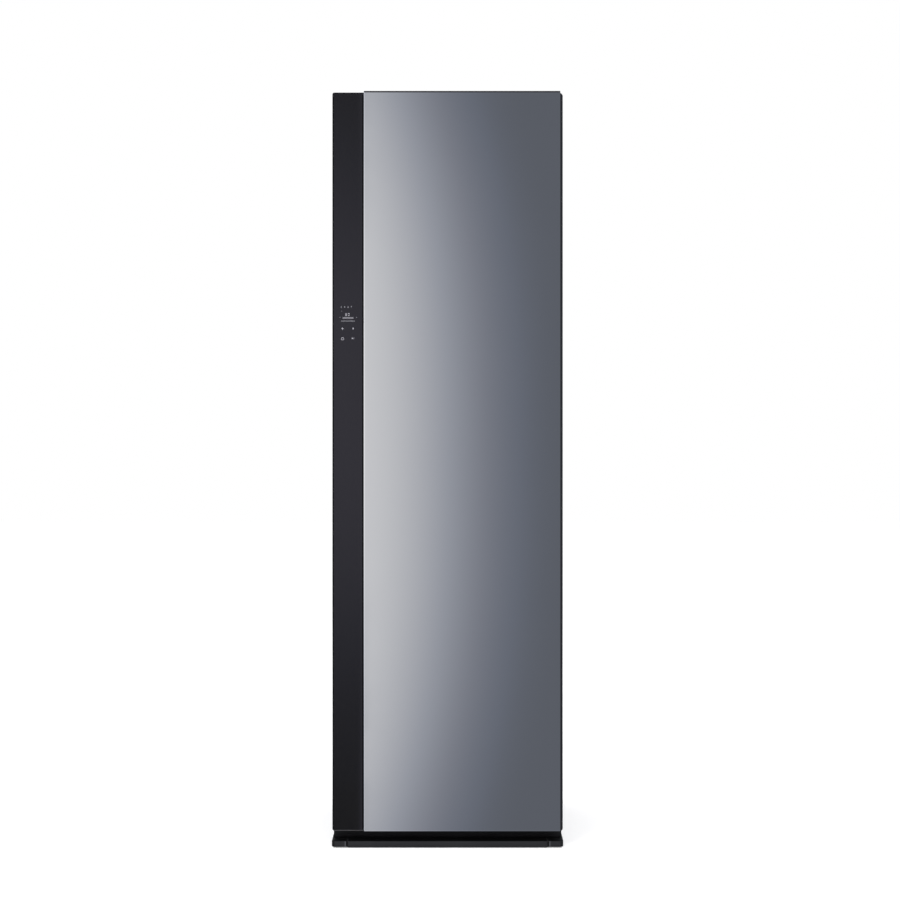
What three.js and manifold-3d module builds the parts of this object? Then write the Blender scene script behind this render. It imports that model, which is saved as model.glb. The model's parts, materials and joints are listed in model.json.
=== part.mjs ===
// Free-standing clothes care steam cabinet: a tall cabinet with a mirrored door, a garment
// cavity above, two water tanks below it and a small heat pump behind the tanks.
// Lengths are in millimetres. X runs to the right, the door faces -Y and Z is up. The origin
// is the middle of the footprint, at floor level.
import * as THREE from 'three';
import { mergeVertices } from 'three/addons/utils/BufferGeometryUtils.js';
import Module from 'manifold-3d';

const wasm = await Module();
wasm.setup();

// Whole cabinet
const overallHeight = 1960;
const overallDepth = 596;
const bodyWidth = 597;
const seam = 0.3;
const overrun = 2;
const roundSides = 24;
const smallRoundSides = 16;

// Base and feet
const baseHeight = 18;
const baseOverhang = 1.5;
const baseFrontDepth = 40;
const baseCornerWidth = 38.5;
const baseGroove = 3;
const baseCornerRadius = 12;
const baseBarLift = 1.2;
const baseCornerLift = 2.8;
const trayDeck = 3;
const trayRimLift = 6;
const trayWall = 3;
const footPadRadius = 20;
const footPadHeight = 8;
const footStemRadius = 5;
const footSideInset = 45;
const footFrontInset = 98;
const footRearInset = 48;
const footClearance = 0.4;

// Toe recess
const toeKickHeight = 24;
const toeKickSetback = 48;
const kickSheet = 2;
const kickSideGap = 1.2;

// Outer panels and front frame
const panelThickness = 1.5;
const topFieldRise = 1.2;
const topFieldInset = 44;
const cabinetDrop = 10;
const frameThickness = 4;
const frameDrop = 4;
const bottomRailHeight = 24;
const tankBayHeight = 268;
const middleRailHeight = 42;
const topRailHeight = 57;
const sideWall = 56.5;
const rearWall = 73;
const rearRecess = 3;
const ventCount = 9;
const ventWidth = 150;
const ventHeight = 6;
const ventPitch = 14;
const ventFirstHeight = 170;

// Inner case and cavity floor
const linerThickness = 2.5;
const floorThickness = 6;
const ledgeDepth = 9;
const ledgeHeight = 14;
const ledgeInset = 40;
const shelfHeight = 190;

// Shelf
const shelfThickness = 10;
const shelfSideGap = 2;
const shelfFrontInset = 34;
const shelfRearInset = 12;
const shelfRim = 18;
const shelfSlotCount = 14;
const shelfSlotWidth = 18;
const shelfSlotMargin = 28;

// Door
const doorSetback = 8;
const doorDepth = 52;
const gasketDepth = 10;
const mirrorThickness = 5.5;
const mirrorBevel = 1.2;
const mirrorRise = 4;
const stripWidth = 81;
const stripStep = 2.4;
const stripFootRise = 3.4;
const trimWidth = 5.9;
const trimStep = 2;
const trimEndGap = 4;
const trimChamfer = 5;
const glassGap = 0.4;
const doorSkin = 2.5;
const doorWall = 3.5;
const doorLinerThickness = 4;
const doorCornerRadius = 5;
const doorCornerChamfer = 6;
const gasketWidth = 14;
const gasketSideInset = 27;
const gasketTopInset = 20;
const gasketBottomInset = 3;
const gasketCornerRadius = 10;
const gripHeight = 1130;
const gripLength = 260;
const gripDepth = 22;
const gripGap = 18;
const gripWall = 4;

// Door hinge
const hingeInset = 14;
const hingeDepth = 12;
const hingePinRadius = 5;
const hingeClearance = 0.4;
const hingePlate = 3;
const hingePlateWidth = 22;
const hingePlateTail = 110;
const hingePinLength = 28;
const hingeBossHeight = 36;
const hingeBossInset = 23;
const hingeRecessReach = 19;
const hingeRecessDepth = 6.5;
const hingeLift = 1;
const hingeCoverWall = 2.5;
const hingeCoverFrontGap = 2;

// Trouser press on the inside of the door
const pressSideInset = 72;
const pressTopInset = 293;
const pressFootHeight = 700;
const padThickness = 11.5;
const pressGap = 7;
const pressPanelThickness = 16;
const pressBarrelRadius = 7;
const pressPinRadius = 4;
const pressPinLength = 12;
const pressPinClearance = 0.4;
const pressEarHeight = 12;
const pressEarGap = 2;
const pressStripDepth = 4.5;
const pressStripWidth = 20;
const latchLength = 23;
const latchHeight = 60;
const latchThickness = 6.4;
const latchNoseWidth = 6;
const latchNoseReach = 14;
const latchClearance = 1.2;

// Trouser hanger above the press
const railWidth = 28;
const railDepth = 9.5;
const railLength = 200;
const railGapAbovePress = 40;
const clipCarriageHeight = 40;
const clipCarriageWidth = 44;
const clipCarriageDepth = 12;
const clipBarInset = 30;
const clipBarHeight = 12;
const clipBarDepth = 8;
const clipJawWidth = 30;
const clipJawHeight = 38;
const clipJawInset = 15;
const clipRailRise = 14;

// Hanger bar, its guide and its drive
const hangerBarInset = 42;
const hangerBarRadius = 9;
const hangerNotchDepth = 3;
const hangerNotchWidth = 12;
const hangerNotchCount = 6;
const hangerNotchInset = 70;
const hangerBarDrop = 93;
const hangerArmWidth = 16;
const hangerArmDepth = 10;
const hangerArmInset = 18;
const carriageTravel = 30;
const carriageWidth = 40;
const carriageThickness = 6;
const guideInset = 22;
const guideSheet = 3.5;
const guideHeight = 32;
const guideLip = 12;
const guideClearance = 0.6;
const crankRadius = 17;
const crankThickness = 5;
const crankThrow = 10;
const crankPinRadius = 4;
const crankShaftRadius = 5;
const crankSlotLength = 30;
const crankGap = 1;
const shaftClearance = 2;
const motorRadius = 34;
const motorHeight = 38;
const motorFlangeRadius = 42;
const motorFlangeHeight = 4;

// Ceiling light
const lightSideInset = 167;
const lightWidth = 26;
const lightHeight = 8;
const lightFrontInset = 26;
const lightRadius = 5;

// Water tanks and their bay
const bayWall = 3;
const bayDivider = 4;
const tankRecess = 30;
const tankDepth = 104;
const tankHeight = 190;
const tankSideGap = 3;
const tankRearGap = 2;
const tankWall = 3;
const tankCornerRadius = 10;
const lidThickness = 6;
const fillHoleRadius = 16;
const capRadius = 20;
const capThickness = 5;
const capRearInset = 28;
const capTongueWidth = 16;
const capTongueLength = 6;
const handleArm = 40;
const handleSideInset = 17;
const handleBar = 8;
const handleFrontInset = 8;
const handleEarWidth = 5;
const handleEarRise = 8;

// Lint filter, aroma cartridge, steam nozzle and air outlet in the cavity floor
const filterSideInset = 132;
const filterLength = 56;
const filterDepth = 28;
const filterFlange = 6;
const filterFlangeThickness = 3.5;
const filterFrontInset = 18;
const filterWall = 4;
const filterClearance = 1;
const filterGripWidth = 30;
const filterGripRise = 12;
const filterGripBar = 5;
const cartridgeSize = 46;
const cartridgeDepth = 26;
const cartridgeSideInset = 42;
const cartridgeKnobRadius = 8;
const cartridgeKnobHeight = 10;
const nozzleRadius = 26;
const nozzleRise = 15;
const nozzleStemRadius = 11;
const nozzleSideInset = 62;
const nozzleRim = 4;
const outletSlotWidth = 8;
const outletSlotLength = 96;
const outletSlotPitch = 20;
const outletSideInset = 28;
const outletRearInset = 20;

// Heat pump, duct and fan
const ductSideInset = 124;
const ductWall = 2.5;
const ductRearInset = 56;
const ductDepth = 216;
const inletDepth = 30.5;
const ductBayGap = 3;
const coilThicknessShare = 0.137;
const coilFrontShare = 0.11;
const coilSpacingShare = 0.046;
const coilHeight = 170;
const coilSideGap = 3;
const coilSlitCount = 11;
const coilSlitWidth = 9;
const coilFoot = 12;
const coilEndPlate = 3;
const fanRadiusShare = 0.183;
const fanMiddleShare = 0.756;
const fanHeight = 55;
const fanPlate = 4;
const fanLift = 36;
const fanHubShare = 0.23;
const fanShaftRadius = 4;
const fanBladeCount = 14;
const fanBladeThickness = 3;
const fanBladeShare = 0.37;
const fanMotorShare = 0.7;
const fanMotorHeight = 66;

// Compressor, steam generator, pumps, control box and power inlet
const compressorRadius = 60;
const compressorHeight = 205;
const compressorFootSize = 150;
const compressorFootHeight = 12;
const compressorSideInset = 90;
const compressorPlaceShare = 0.625;
const compressorDome = 28;
const compressorFootCorner = 30;
const generatorWidth = 112;
const generatorDepth = 98;
const generatorHeight = 120;
const generatorCorner = 10;
const pumpRadius = 27;
const pumpHeight = 52;
const pumpFlangeRadius = 34;
const pumpFlangeHeight = 6;
const pumpPlateCorner = 12;
const pumpPitch = 76;
const pumpSideInset = 108;
const pumpPlaceShare = 0.15;
const controlWidth = 140;
const controlDepth = 60;
const controlHeight = 130;
const controlSideInset = 10;
const controlLift = 30;
const controlCorner = 6;
const inletWidth = 42;
const inletHeight = 30;
const inletLift = 60;
const inletSideInset = 60;
const inletBody = 18;
const inletSocketWidth = 26;
const inletSocketHeight = 16;
const inletSocketDepth = 14;

// Planes and levels that the pieces share
const bodyHalf = bodyWidth / 2;
const baseHalf = bodyHalf + baseOverhang;
const innerHalf = bodyHalf - panelThickness;
const cavityHalf = bodyHalf - sideWall;
const frontY = -overallDepth / 2;
const backY = overallDepth / 2;
const doorFrontY = frontY + doorSetback;
const doorBackY = doorFrontY + doorDepth;
const frameFrontY = doorBackY + gasketDepth;
const frameBackY = frameFrontY + frameThickness;
const cavityBackY = backY - rearWall;
const rearPanelBackY = backY - rearRecess;
const rearPanelY = rearPanelBackY - panelThickness;
const doorBottom = baseHeight + toeKickHeight;
const cabinetTop = overallHeight - cabinetDrop;
const frameBottom = doorBottom - frameDrop;
const bayBottom = frameBottom + bottomRailHeight;
const bayTop = bayBottom + tankBayHeight;
const cavityFloor = bayTop + middleRailHeight;
const cavityTop = cabinetTop - topRailHeight;
const hingeX = bodyHalf - hingeInset;
const hingeY = doorBackY - hingeDepth;
const floorUnderside = cavityFloor - floorThickness;
const pressTop = cavityTop - pressTopInset;
const pressHalf = cavityHalf - pressSideInset;
const tankFrontY = frameFrontY + tankRecess;
const tankBackY = tankFrontY + tankDepth;
const bayBackY = tankBackY + tankRearGap;
const bayRearY = bayBackY + bayWall;
const roomDepth = rearPanelY - bayRearY;
const ductHalf = cavityHalf - ductSideInset;
const filterWidth = 2 * (cavityHalf - filterSideInset);

// Finishes
function finish(colour, roughness, metalness) {
  return new THREE.MeshStandardMaterial({ color: colour, roughness, metalness });
}
const mirrorFinish = finish(0x9aa1ab, 0.05, 1);
const blackGlass = finish(0x2b2a30, 0.12, 0);
const darkSteel = finish(0x33353b, 0.4, 0.6);
const darkPlastic = finish(0x26272b, 0.55, 0);
const basePlastic = finish(0x34353b, 0.6, 0);
const linerPlastic = finish(0xc9cbd0, 0.45, 0);
const smokePlastic = finish(0x5d6168, 0.2, 0);
const tankPlastic = finish(0xa8b4bf, 0.15, 0);
const blackRubber = finish(0x18181a, 0.85, 0);
const galvanized = finish(0x9b9fa3, 0.45, 0.9);
const coilMetal = finish(0xb7babd, 0.4, 0.9);
const blackMetal = finish(0x1c1d20, 0.5, 0.5);
const brushedSteel = finish(0xb9bcc0, 0.3, 1);
const padFabric = finish(0x8d9095, 0.95, 0);
const boardPlastic = finish(0x6f7378, 0.6, 0);
const lampPlastic = finish(0xf2f3f2, 0.4, 0);

// Shape helpers. Ranges are [low, high] pairs in the cabinet's frame.
function box(x, y, z) {
  const geometry = new THREE.BoxGeometry(x[1] - x[0], y[1] - y[0], z[1] - z[0]);
  return geometry.translate((x[0] + x[1]) / 2, (y[0] + y[1]) / 2, (z[0] + z[1]) / 2);
}

function around(middle, width) {
  return [middle - width / 2, middle + width / 2];
}

function rodZ(radius, x, y, z, sides = roundSides) {
  const geometry = new THREE.CylinderGeometry(radius, radius, z[1] - z[0], sides);
  return geometry.rotateX(Math.PI / 2).translate(x, y, (z[0] + z[1]) / 2);
}

function rodX(radius, x, y, z, sides = smallRoundSides) {
  const geometry = new THREE.CylinderGeometry(radius, radius, x[1] - x[0], sides);
  return geometry.rotateZ(Math.PI / 2).translate((x[0] + x[1]) / 2, y, z);
}

// A profile of [radius, height] points turned about a vertical line through x, y.
function turned(profile, x, y, sides = roundSides) {
  const points = profile.map(([radius, height]) => new THREE.Vector2(radius, height));
  const geometry = new THREE.LatheGeometry(points, sides);
  return geometry.rotateX(Math.PI / 2).translate(x, y, 0);
}

// An outline through [x, y, radius] corners, each rounded by an arc of its radius.
function outline(corners, steps = 4) {
  const points = [];
  corners.forEach(([x, y, radius], index) => {
    const corner = new THREE.Vector2(x, y);
    if (!radius) {
      points.push(corner);
      return;
    }
    const [beforeX, beforeY] = corners[(index + corners.length - 1) % corners.length];
    const [afterX, afterY] = corners[(index + 1) % corners.length];
    const toBefore = new THREE.Vector2(beforeX, beforeY).sub(corner).normalize();
    const toAfter = new THREE.Vector2(afterX, afterY).sub(corner).normalize();
    const halfAngle = Math.acos(toBefore.dot(toAfter)) / 2;
    const middle = toBefore.clone().add(toAfter).normalize().multiplyScalar(radius / Math.sin(halfAngle));
    middle.add(corner);
    const first = toBefore.multiplyScalar(radius / Math.tan(halfAngle)).add(corner).sub(middle);
    const last = toAfter.multiplyScalar(radius / Math.tan(halfAngle)).add(corner).sub(middle);
    const sweep = Math.atan2(first.cross(last), first.dot(last));
    for (let step = 0; step <= steps; step += 1) {
      points.push(first.clone().rotateAround(new THREE.Vector2(), (sweep * step) / steps).add(middle));
    }
  });
  return new THREE.Shape(points);
}

function rectangle(x, y, radius) {
  return outline([[x[0], y[0], radius], [x[1], y[0], radius], [x[1], y[1], radius], [x[0], y[1], radius]]);
}

// An outline drawn in X and Z, pushed along Y.
function plate(shape, y) {
  const geometry = new THREE.ExtrudeGeometry(shape, { depth: y[1] - y[0], bevelEnabled: false });
  return geometry.rotateX(Math.PI / 2).translate(0, y[1], 0);
}

// An outline drawn in X and Y, pushed along Z.
function slab(shape, z) {
  const geometry = new THREE.ExtrudeGeometry(shape, { depth: z[1] - z[0], bevelEnabled: false });
  return geometry.translate(0, 0, z[0]);
}

function toSolid(geometry) {
  const bare = geometry.clone();
  bare.deleteAttribute('normal');
  bare.deleteAttribute('uv');
  const merged = mergeVertices(bare);
  const vertProperties = Float32Array.from(merged.attributes.position.array);
  const triVerts = Uint32Array.from(merged.index.array);
  return new wasm.Manifold(new wasm.Mesh({ numProp: 3, vertProperties, triVerts }));
}

function fromSolid(solid) {
  const mesh = solid.getMesh();
  const geometry = new THREE.BufferGeometry();
  geometry.setAttribute('position', new THREE.BufferAttribute(Float32Array.from(mesh.vertProperties), 3));
  geometry.setIndex(new THREE.BufferAttribute(Uint32Array.from(mesh.triVerts), 1));
  geometry.computeVertexNormals();
  return geometry;
}

function join(...pieces) {
  return fromSolid(pieces.map(toSolid).reduce((whole, piece) => whole.add(piece)));
}

function cut(base, ...tools) {
  return fromSolid(tools.map(toSolid).reduce((rest, tool) => rest.subtract(tool), toSolid(base)));
}

// Groups and pieces. A piece's geometry is drawn in the cabinet's frame, then centred on its
// own middle and placed there inside its group.
const cabinet = new THREE.Group();
cabinet.name = 'steam_cabinet';

function movingGroup(parent, x, y, z) {
  const group = new THREE.Group();
  parent.updateWorldMatrix(true, false);
  group.position.copy(parent.worldToLocal(new THREE.Vector3(x, y, z)));
  parent.add(group);
  return group;
}

function addPiece(group, name, geometry, material) {
  geometry.computeBoundingBox();
  const middle = geometry.boundingBox.getCenter(new THREE.Vector3());
  geometry.translate(-middle.x, -middle.y, -middle.z);
  const mesh = new THREE.Mesh(geometry, material);
  mesh.name = name;
  group.updateWorldMatrix(true, false);
  mesh.position.copy(group.worldToLocal(middle.clone()));
  group.add(mesh);
}

// Base: a centre bar and two rounded corners in front of a shallow tray, which stands on two
// levelling feet in front and two fixed pads at the rear.
function cornerOutline(side) {
  const inner = side * (baseHalf - baseCornerWidth);
  const outer = side * baseHalf;
  const back = frontY + baseFrontDepth;
  return outline([[inner, frontY], [outer, frontY, baseCornerRadius], [outer, back], [inner, back]], 6);
}

function buildBase() {
  const barHalf = baseHalf - baseCornerWidth - baseGroove;
  const barDepth = [frontY, frontY + baseFrontDepth];
  const bar = box([-barHalf, barHalf], barDepth, [baseBarLift, baseHeight]);
  addPiece(cabinet, 'base_front_bar', bar, basePlastic);
  const cornerHeight = [baseCornerLift, baseHeight];
  addPiece(cabinet, 'base_corner_left', slab(cornerOutline(-1), cornerHeight), basePlastic);
  addPiece(cabinet, 'base_corner_right', slab(cornerOutline(1), cornerHeight), basePlastic);

  const trayFront = barDepth[1] + seam;
  const trayUnder = baseHeight - trayDeck;
  const footX = baseHalf - footSideInset;
  const footY = frontY + footFrontInset;
  const sides = { left: -footX, right: footX };
  const stemHole = (x) => rodZ(footStemRadius + footClearance, x, footY,
    [trayUnder - overrun, baseHeight + overrun], smallRoundSides);
  const rearPad = (x) => rodZ(footPadRadius, x, backY - footRearInset, [0, trayUnder + seam]);
  const shallow = cut(
    box([-baseHalf, baseHalf], [trayFront, backY], [trayRimLift, baseHeight]),
    box([trayWall - baseHalf, baseHalf - trayWall], [trayFront + trayWall, backY - trayWall],
      [trayRimLift - overrun, trayUnder]),
    stemHole(sides.left),
    stemHole(sides.right),
  );
  addPiece(cabinet, 'base_tray', join(shallow, rearPad(sides.left), rearPad(sides.right)), basePlastic);

  for (const [name, x] of Object.entries(sides)) {
    const foot = join(
      rodZ(footPadRadius, x, footY, [0, footPadHeight]),
      rodZ(footStemRadius, x, footY, [footPadHeight - footClearance, baseHeight - seam], smallRoundSides),
    );
    addPiece(movingGroup(cabinet, x, footY, 0), `foot_front_${name}`, foot, blackRubber);
  }

  const kickFront = frontY + toeKickSetback;
  const kickTop = doorBottom - hingeLift - hingePlate - 2 * seam;
  const kickBack = frameFrontY - seam;
  const kickHalf = bodyHalf - kickSideGap;
  const kick = cut(
    box([-kickHalf, kickHalf], [kickFront, kickBack], [baseHeight + seam, kickTop]),
    box([kickSheet - kickHalf, kickHalf - kickSheet], [kickFront + kickSheet, kickBack + overrun],
      [baseHeight - overrun, kickTop - kickSheet]),
  );
  addPiece(cabinet, 'kick_plate', kick, darkPlastic);
}

// Cabinet: two side panels, a rear panel with vents, a top panel with a raised field and the
// front frame.
function buildShell() {
  const panelBottom = baseHeight + seam;
  const sheets = { left: [-bodyHalf, -innerHalf], right: [innerHalf, bodyHalf] };
  for (const [name, x] of Object.entries(sheets)) {
    const side = box(x, [frameFrontY, backY], [panelBottom, cabinetTop]);
    addPiece(cabinet, `side_panel_${name}`, side, darkSteel);
  }
  const panelHalf = innerHalf - seam;
  const topUnder = cabinetTop - panelThickness;
  const topY = [frameBackY + seam, rearPanelY - seam];
  const field = (inset, z) => box([inset - panelHalf, panelHalf - inset],
    [topY[0] + inset, topY[1] - inset], z);
  const top = cut(
    join(box([-panelHalf, panelHalf], topY, [topUnder, cabinetTop]),
      field(topFieldInset, [topUnder, cabinetTop + topFieldRise])),
    field(topFieldInset + panelThickness, [topUnder - overrun, topUnder + topFieldRise]),
  );
  addPiece(cabinet, 'top_panel', top, darkSteel);

  const inletX = around(inletSideInset - innerHalf, inletWidth + 2 * seam);
  const inletZ = [inletLift - seam, inletLift + inletHeight + seam];
  const through = [rearPanelY - overrun, backY + overrun];
  const vents = [];
  for (let index = 0; index < ventCount; index += 1) {
    const low = ventFirstHeight + index * ventPitch;
    for (const side of [-1, 1]) {
      const x = around(side * (innerHalf / 2), ventWidth);
      vents.push(box(x, through, [low, low + ventHeight]));
    }
  }
  const rear = cut(box([-panelHalf, panelHalf], [rearPanelY, rearPanelBackY], [panelBottom, cabinetTop]),
    box(inletX, through, inletZ), ...vents);
  addPiece(cabinet, 'rear_panel', rear, galvanized);

  const throughFrame = [frameFrontY - overrun, frameBackY + overrun];
  const frame = cut(
    box([-panelHalf, panelHalf], [frameFrontY, frameBackY], [frameBottom, cabinetTop]),
    box([-cavityHalf, cavityHalf], throughFrame, [bayBottom, bayTop]),
    box([-cavityHalf, cavityHalf], throughFrame, [cavityFloor, cavityTop]),
  );
  addPiece(cabinet, 'front_frame', frame, darkPlastic);
}

// Inner case: two side walls, a rear wall and a ceiling, with a frame that carries the shelf.
function buildInnerCase() {
  const y = [frameBackY + seam, cavityBackY + linerThickness];
  const outerHalf = cavityHalf + linerThickness;
  const wallZ = [floorUnderside, cavityTop - seam];
  const walls = { left: [-outerHalf, -cavityHalf], right: [cavityHalf, outerHalf] };
  for (const [name, x] of Object.entries(walls)) {
    addPiece(cabinet, `case_wall_${name}`, box(x, y, wallZ), linerPlastic);
  }
  const rearHalf = cavityHalf - seam;
  addPiece(cabinet, 'case_back', box([-rearHalf, rearHalf], [cavityBackY, y[1]], wallZ), linerPlastic);
  const ceilingZ = [cavityTop, cavityTop + linerThickness];
  const ceiling = cut(box([-outerHalf, outerHalf], y, ceilingZ),
    rodZ(crankShaftRadius + shaftClearance, 0, 0, [ceilingZ[0] - overrun, ceilingZ[1] + overrun]));
  addPiece(cabinet, 'case_ceiling', ceiling, linerPlastic);

  const railTop = cavityFloor + shelfHeight;
  const railZ = [railTop - ledgeHeight, railTop];
  const railY = [y[0] + ledgeInset, cavityBackY - seam];
  const railHalf = rearHalf - ledgeDepth;
  const support = cut(box([-rearHalf, rearHalf], railY, railZ),
    box([-railHalf, railHalf], [railY[0] - overrun, railY[1] - ledgeDepth],
      [railZ[0] - overrun, railZ[1] + overrun]));
  addPiece(cabinet, 'shelf_support', support, linerPlastic);

  const lightY = [frameBackY + lightFrontInset, frameBackY + lightFrontInset + lightWidth];
  const light = slab(rectangle(around(0, 2 * (cavityHalf - lightSideInset)), lightY, lightRadius),
    [cavityTop - seam - lightHeight, cavityTop - seam]);
  addPiece(cabinet, 'interior_light', light, lampPlastic);
}

// Cavity floor with its lint filter, aroma cartridge, steam nozzle and air outlet.
const filterFront = frameBackY + filterFrontInset;
const cartridgeX = cavityHalf - cartridgeSideInset;
const cartridgeY = filterFront + filterLength / 2;
const nozzleX = nozzleSideInset - cavityHalf;
const nozzleY = bayRearY + ductBayGap + generatorDepth / 2;

function buildFloor() {
  const floorCut = [floorUnderside - overrun, cavityFloor + overrun];
  const slots = [];
  const slotCount = Math.round((2 * (ductHalf - outletSideInset)) / outletSlotPitch);
  for (let index = 0; index < slotCount; index += 1) {
    const x = (index - (slotCount - 1) / 2) * outletSlotPitch;
    const slotBack = cavityBackY - outletRearInset;
    slots.push(box(around(x, outletSlotWidth), [slotBack - outletSlotLength, slotBack], floorCut));
  }
  const floorHalf = cavityHalf - seam;
  const filterOpening = filterWidth + 2 * filterClearance;
  const cartridgeOpening = cartridgeSize + 2 * filterClearance;
  const openingY = [filterFront - filterClearance, filterFront + filterLength + filterClearance];
  const floor = cut(
    box([-floorHalf, floorHalf], [frameBackY + seam, cavityBackY - seam], [floorUnderside, cavityFloor]),
    box(around(0, filterOpening), openingY, floorCut),
    box(around(cartridgeX, cartridgeOpening), around(cartridgeY, cartridgeOpening), floorCut),
    rodZ(nozzleStemRadius + seam, nozzleX, nozzleY, floorCut),
    ...slots,
  );
  addPiece(cabinet, 'cavity_floor', floor, linerPlastic);

  const dome = [
    [0, floorUnderside - floorThickness], [nozzleStemRadius, floorUnderside - floorThickness],
    [nozzleStemRadius, cavityFloor + seam], [nozzleRadius, cavityFloor + seam],
    [nozzleRadius, cavityFloor + nozzleRim], [nozzleStemRadius, cavityFloor + nozzleRise],
    [0, cavityFloor + nozzleRise],
  ];
  addPiece(cabinet, 'steam_nozzle', turned(dome, nozzleX, nozzleY), smokePlastic);
}

function buildFilter() {
  const y = [filterFront, filterFront + filterLength];
  const middleY = (y[0] + y[1]) / 2;
  const flangeLow = cavityFloor + seam;
  const flangeTop = flangeLow + filterFlangeThickness;
  const bottom = cavityFloor - filterDepth;
  const gripTop = flangeTop + filterGripRise;
  const flangeX = around(0, filterWidth + 2 * filterFlange);
  const flangeY = [y[0] - filterFlange, y[1] + filterFlange];
  const pocketX = around(0, filterWidth - 2 * filterWall);
  const pocketY = [y[0] + filterWall, y[1] - filterWall];
  const tray = cut(
    join(box(around(0, filterWidth), y, [bottom, flangeTop]),
      box(flangeX, flangeY, [flangeLow, flangeTop])),
    box(pocketX, pocketY, [bottom + filterWall, flangeTop + overrun]),
  );
  const grip = cut(
    box(around(0, filterGripWidth), y, [flangeLow, gripTop]),
    box(around(0, filterGripWidth + 2 * overrun), pocketY, [flangeLow - overrun, gripTop - filterGripBar]),
  );
  const group = movingGroup(cabinet, 0, middleY, flangeLow);
  addPiece(group, 'lint_filter', join(tray, grip), darkPlastic);

  const capHalf = cartridgeSize / 2 + filterFlange;
  const cartridge = join(
    box(around(cartridgeX, cartridgeSize), around(cartridgeY, cartridgeSize),
      [cavityFloor - cartridgeDepth, flangeTop]),
    box(around(cartridgeX, 2 * capHalf), around(cartridgeY, 2 * capHalf), [flangeLow, flangeTop]),
    rodZ(cartridgeKnobRadius, cartridgeX, cartridgeY, [flangeTop - seam, flangeTop + cartridgeKnobHeight]),
  );
  const cartridgeGroup = movingGroup(cabinet, cartridgeX, cartridgeY, flangeLow);
  addPiece(cartridgeGroup, 'aroma_cartridge', cartridge, smokePlastic);
}

// Shelf: a slotted plate with a raised rim that rests on the support frame.
function buildShelf() {
  const bottom = cavityFloor + shelfHeight + seam;
  const top = bottom + shelfThickness;
  const half = cavityHalf - shelfSideGap;
  const y = [frameBackY + shelfFrontInset, cavityBackY - shelfRearInset];
  const pitch = (2 * (half - shelfSlotMargin)) / shelfSlotCount;
  const slots = [];
  for (let index = 0; index < shelfSlotCount; index += 1) {
    const x = (index - (shelfSlotCount - 1) / 2) * pitch;
    slots.push(box(around(x, Math.min(shelfSlotWidth, pitch - shelfThickness / 2)),
      [y[0] + shelfSlotMargin, y[1] - shelfSlotMargin], [bottom - overrun, top + overrun]));
  }
  const shelf = cut(box([-half, half], y, [bottom, top]),
    box([shelfRim - half, half - shelfRim], [y[0] + shelfRim, y[1] - shelfRim],
      [bottom + shelfThickness / 2, top + overrun]), ...slots);
  addPiece(movingGroup(cabinet, 0, (y[0] + y[1]) / 2, bottom), 'shelf', shelf, linerPlastic);
}

// Hanger bar: a notched bar under a carriage that runs in a channel on the ceiling. A crank
// above the carriage shakes it from side to side. The crank pin stops short of the slot.
function hangerBarGeometry(z) {
  const half = cavityHalf - hangerBarInset;
  const notchPitch = (2 * (half - hangerNotchInset)) / (hangerNotchCount - 1);
  const profile = [[0, -half], [hangerBarRadius, -half]];
  for (let index = 0; index < hangerNotchCount; index += 1) {
    const middle = (index - (hangerNotchCount - 1) / 2) * notchPitch;
    profile.push([hangerBarRadius, middle - hangerNotchWidth / 2]);
    profile.push([hangerBarRadius - hangerNotchDepth, middle]);
    profile.push([hangerBarRadius, middle + hangerNotchWidth / 2]);
  }
  profile.push([hangerBarRadius, half], [0, half]);
  const points = profile.map(([radius, along]) => new THREE.Vector2(radius, along));
  return new THREE.LatheGeometry(points, smallRoundSides).rotateZ(-Math.PI / 2).translate(0, 0, z);
}

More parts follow.
